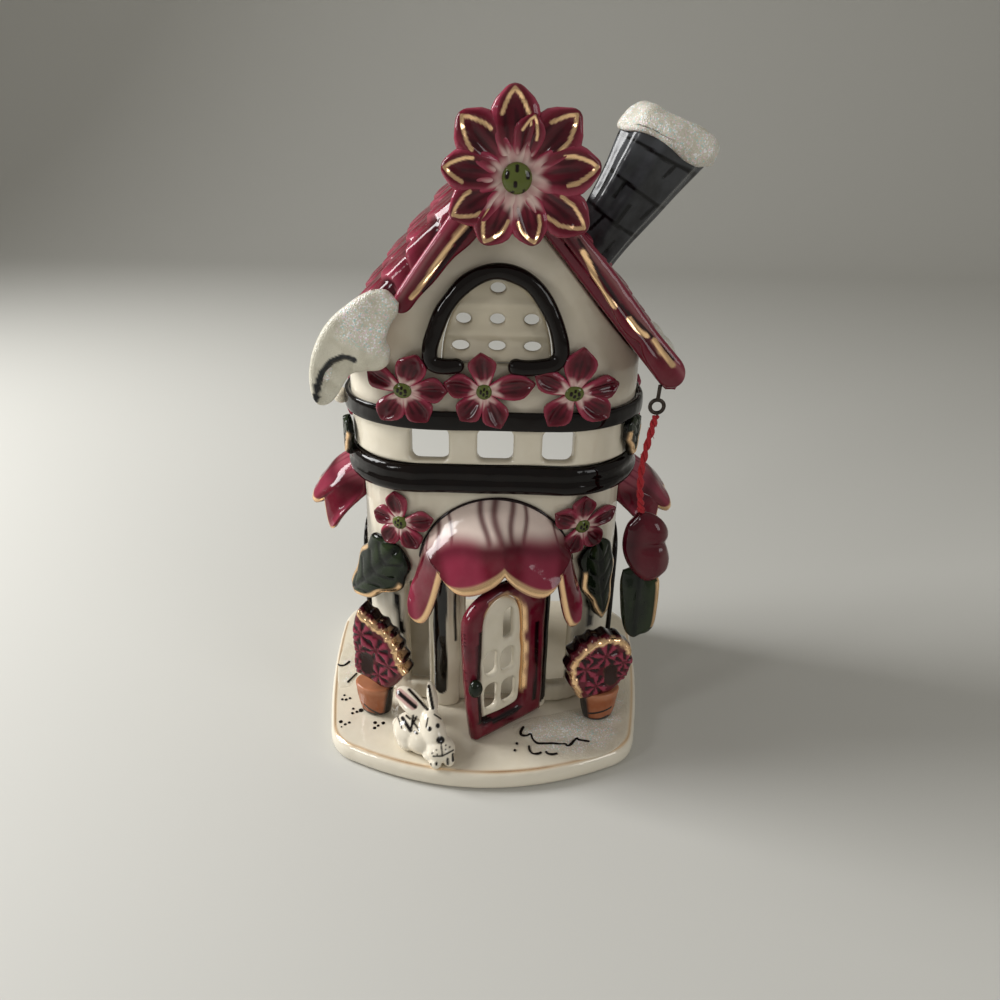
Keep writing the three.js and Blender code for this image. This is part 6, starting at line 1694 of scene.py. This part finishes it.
swell = 1.5 * ridge(x - 58.5, 5) * ridge(z - 94, 5) + 1.8 * ridge(x - 59.5, 5.5) * ridge(z - 81.5, 6)
swell -= 0.9 * ridge(z - 89 - 0.12 * (x - 60), 1.6) * smooth(52, 58, x)
thick = (3.4 - slab.sink) * 0.95 + swell * (1 - slab.sink / 3.4)
# The bud darkens towards its left edge and turns paler towards its right: painted shade on one side, painted
# light on the other.
shade = 1 - smooth(50.5, 54.5, x - 0.12 * np.abs(z - 88))
paint = {"pooled": 0.45 + 0.45 * shade + 0.1 * ridge(z - 89, 1.8), "thin": 0.16 * smooth(60, 64.5, x)}
bud = both_faces(slab, upright(slab, CHARM_MIDDLE - thick), upright(slab, CHARM_MIDDLE + thick), paint)
charm_bud = make_piece("charm_bud", [bud], crimson_glaze, "charm_bloom", body="charm")
slab = cut_slab(closed_curve(LEAF_OUTLINE, 100), [], 0.7, 1.8)
x, z = slab.flat.T
ribs = 1.1 * ridge(x - 52.0, 1.6) + 1.3 * ridge(x - 59.6 + 0.09 * (z - 60), 2.2) - 0.7 * ridge(x - 55.3, 0.8)
thick = 0.9 + (1.8 - slab.sink) * 0.75 + ribs * (1 - slab.sink / 1.8) * smooth(50, 55, z)
thick = thick * (1 - 0.45 * smooth(70, 77, z))
paint = {
    "gold": covered(slab.flat, [LEAF_GOLD], 1.2),
    "thin": 0.25 * ridge(x - 60.4, 1.6),
    "pooled": 0.8 * ridge(x - 55.3, 1.0),
}
green = both_faces(slab, upright(slab, CHARM_MIDDLE - thick), upright(slab, CHARM_MIDDLE + thick), paint)
charm_green = make_piece("charm_green", [green], green_glaze, "charm_leaf", body="charm")

# Marks on the plate: dots and lines of thick black glaze, trailed on in front of the door and
# by the left planter, and snow that drifts round the right planter and lies at the left edge.
PLATE_DOTS = [
    (-59.5, -18.6, 0.5), (-59.9, -21.2, 0.55), (-58.3, -21.3, 0.6), (-56.9, -20.4, 0.55),
    (-54.4, -26.8, 0.55), (-54.2, -29.6, 0.6), (-52.6, -28.7, 0.6), (-51.1, -27.7, 0.95),
    (-57.9, -34.8, 0.8), (-55.9, -36.3, 0.6), (-54.5, -35.2, 0.6), (-57.1, -37.8, 0.35),
    (-44.3, -34.9, 0.75), (-41.0, -35.0, 0.75), (-42.8, -36.6, 0.6), (-44.0, -38.0, 0.7),
]
PLATE_LINES = [
    [(-66.2, 2.1), (-65.1, 1.1), (-63.3, 1.3), (-62.1, 2.6), (-61.3, 4.4)],
    [(-56.8, -4.0), (-57.7, -6.0), (-58.7, -8.3), (-59.7, -10.6)],
    [
        (14.9, -35.3), (13.7, -38.6), (14.2, -40.4), (16.1, -40.5), (17.6, -39.7), (18.3, -42.4),
        (20.0, -44.6), (22.9, -44.7), (25.9, -44.6), (28.8, -44.8), (30.8, -44.8), (31.5, -45.6),
        (32.7, -45.2), (34.3, -42.9), (35.6, -41.5), (36.2, -42.2), (38.0, -42.6), (40.5, -43.1),
    ],
    [(16.7, -46.0), (17.1, -49.0), (18.3, -50.4), (20.3, -50.3), (21.5, -49.4)],
    [(23.0, -48.9), (23.9, -50.2), (25.6, -50.5), (27.6, -49.9)],
    [(12.1, -44.4), (12.1, -45.8)],
    [(11.4, -48.2), (11.2, -49.5)],
]
RIGHT_DRIFT = [
    (10.2, -34.0), (11.2, -40.2), (13.9, -45.2), (19.4, -51.0), (28.4, -53.0), (39.0, -51.8), (48.4, -47.6),
    (54.6, -40.0), (57.4, -28.7), (60.0, -10.8), (59.2, -2.0), (55.0, -8.0), (52.0, -14.0), (49.0, -20.0),
    (42.0, -22.0), (34.0, -24.0), (26.0, -27.0), (18.0, -29.6),
]
LEFT_DRIFT = [
    (-63.0, -14.0), (-65.4, -2.0), (-66.2, 10.0), (-65.6, 18.6), (-61.4, 16.0), (-57.0, 6.0), (-55.0, -3.0),
    (-57.6, -12.6),
]


def drift(outline, high):
    """A thin drift of snow on the plate: highest inside, thinning to nothing at its edge."""
    slab = cut_slab(outline, [], 1.3, 2.4)
    x, y = slab.flat.T
    rim = gap_to_loop(slab.flat, outline) + 2.2 * wobble(x / 2.6, y / 2.9, 5)
    heap = high * (0.6 + 0.4 * wobble(x / 4, y / 4, 3)) * smooth(1.0, 7.0, rim)
    top = np.stack([x, y, 8.02 + heap - 0.125 * slab.sink], -1)
    foot = np.stack([x, y, np.full_like(x, 7.6)], -1)
    return both_faces(slab, top, foot, {"bare": 1 - smooth(1.5, 6.5, rim)})


marks = [ellipsoid((x, y, 7.95), (r, r * 1.15, 0.28), steps=10) for x, y, r in PLATE_DOTS]
for line in PLATE_LINES:
    path = curve_through([(x, y, 8.25) for x, y in line], 12 * len(line))
    thick = blunt(path, 0.5) * (1 + 0.25 * wobble(path[:, 0]))
    marks.append(rod(path, thick, 10, up=(0, 0, 1), flat=0.55))
make_piece("trailed_marks", marks, black_glaze)
drifts = [drift(closed_curve(RIGHT_DRIFT, 130), 0.22), drift(closed_curve(LEFT_DRIFT, 70), 0.35)]
plate_glitter = snowy("plate_glitter", "ddd4c0", "cfc6b1")
make_piece("snow_drifts", drifts, plate_glitter, slot="snow_glaze")

size = {
    "cad": [list(cad_low), list(cad_high)],
    "visual": [list(v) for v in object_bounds()],
}
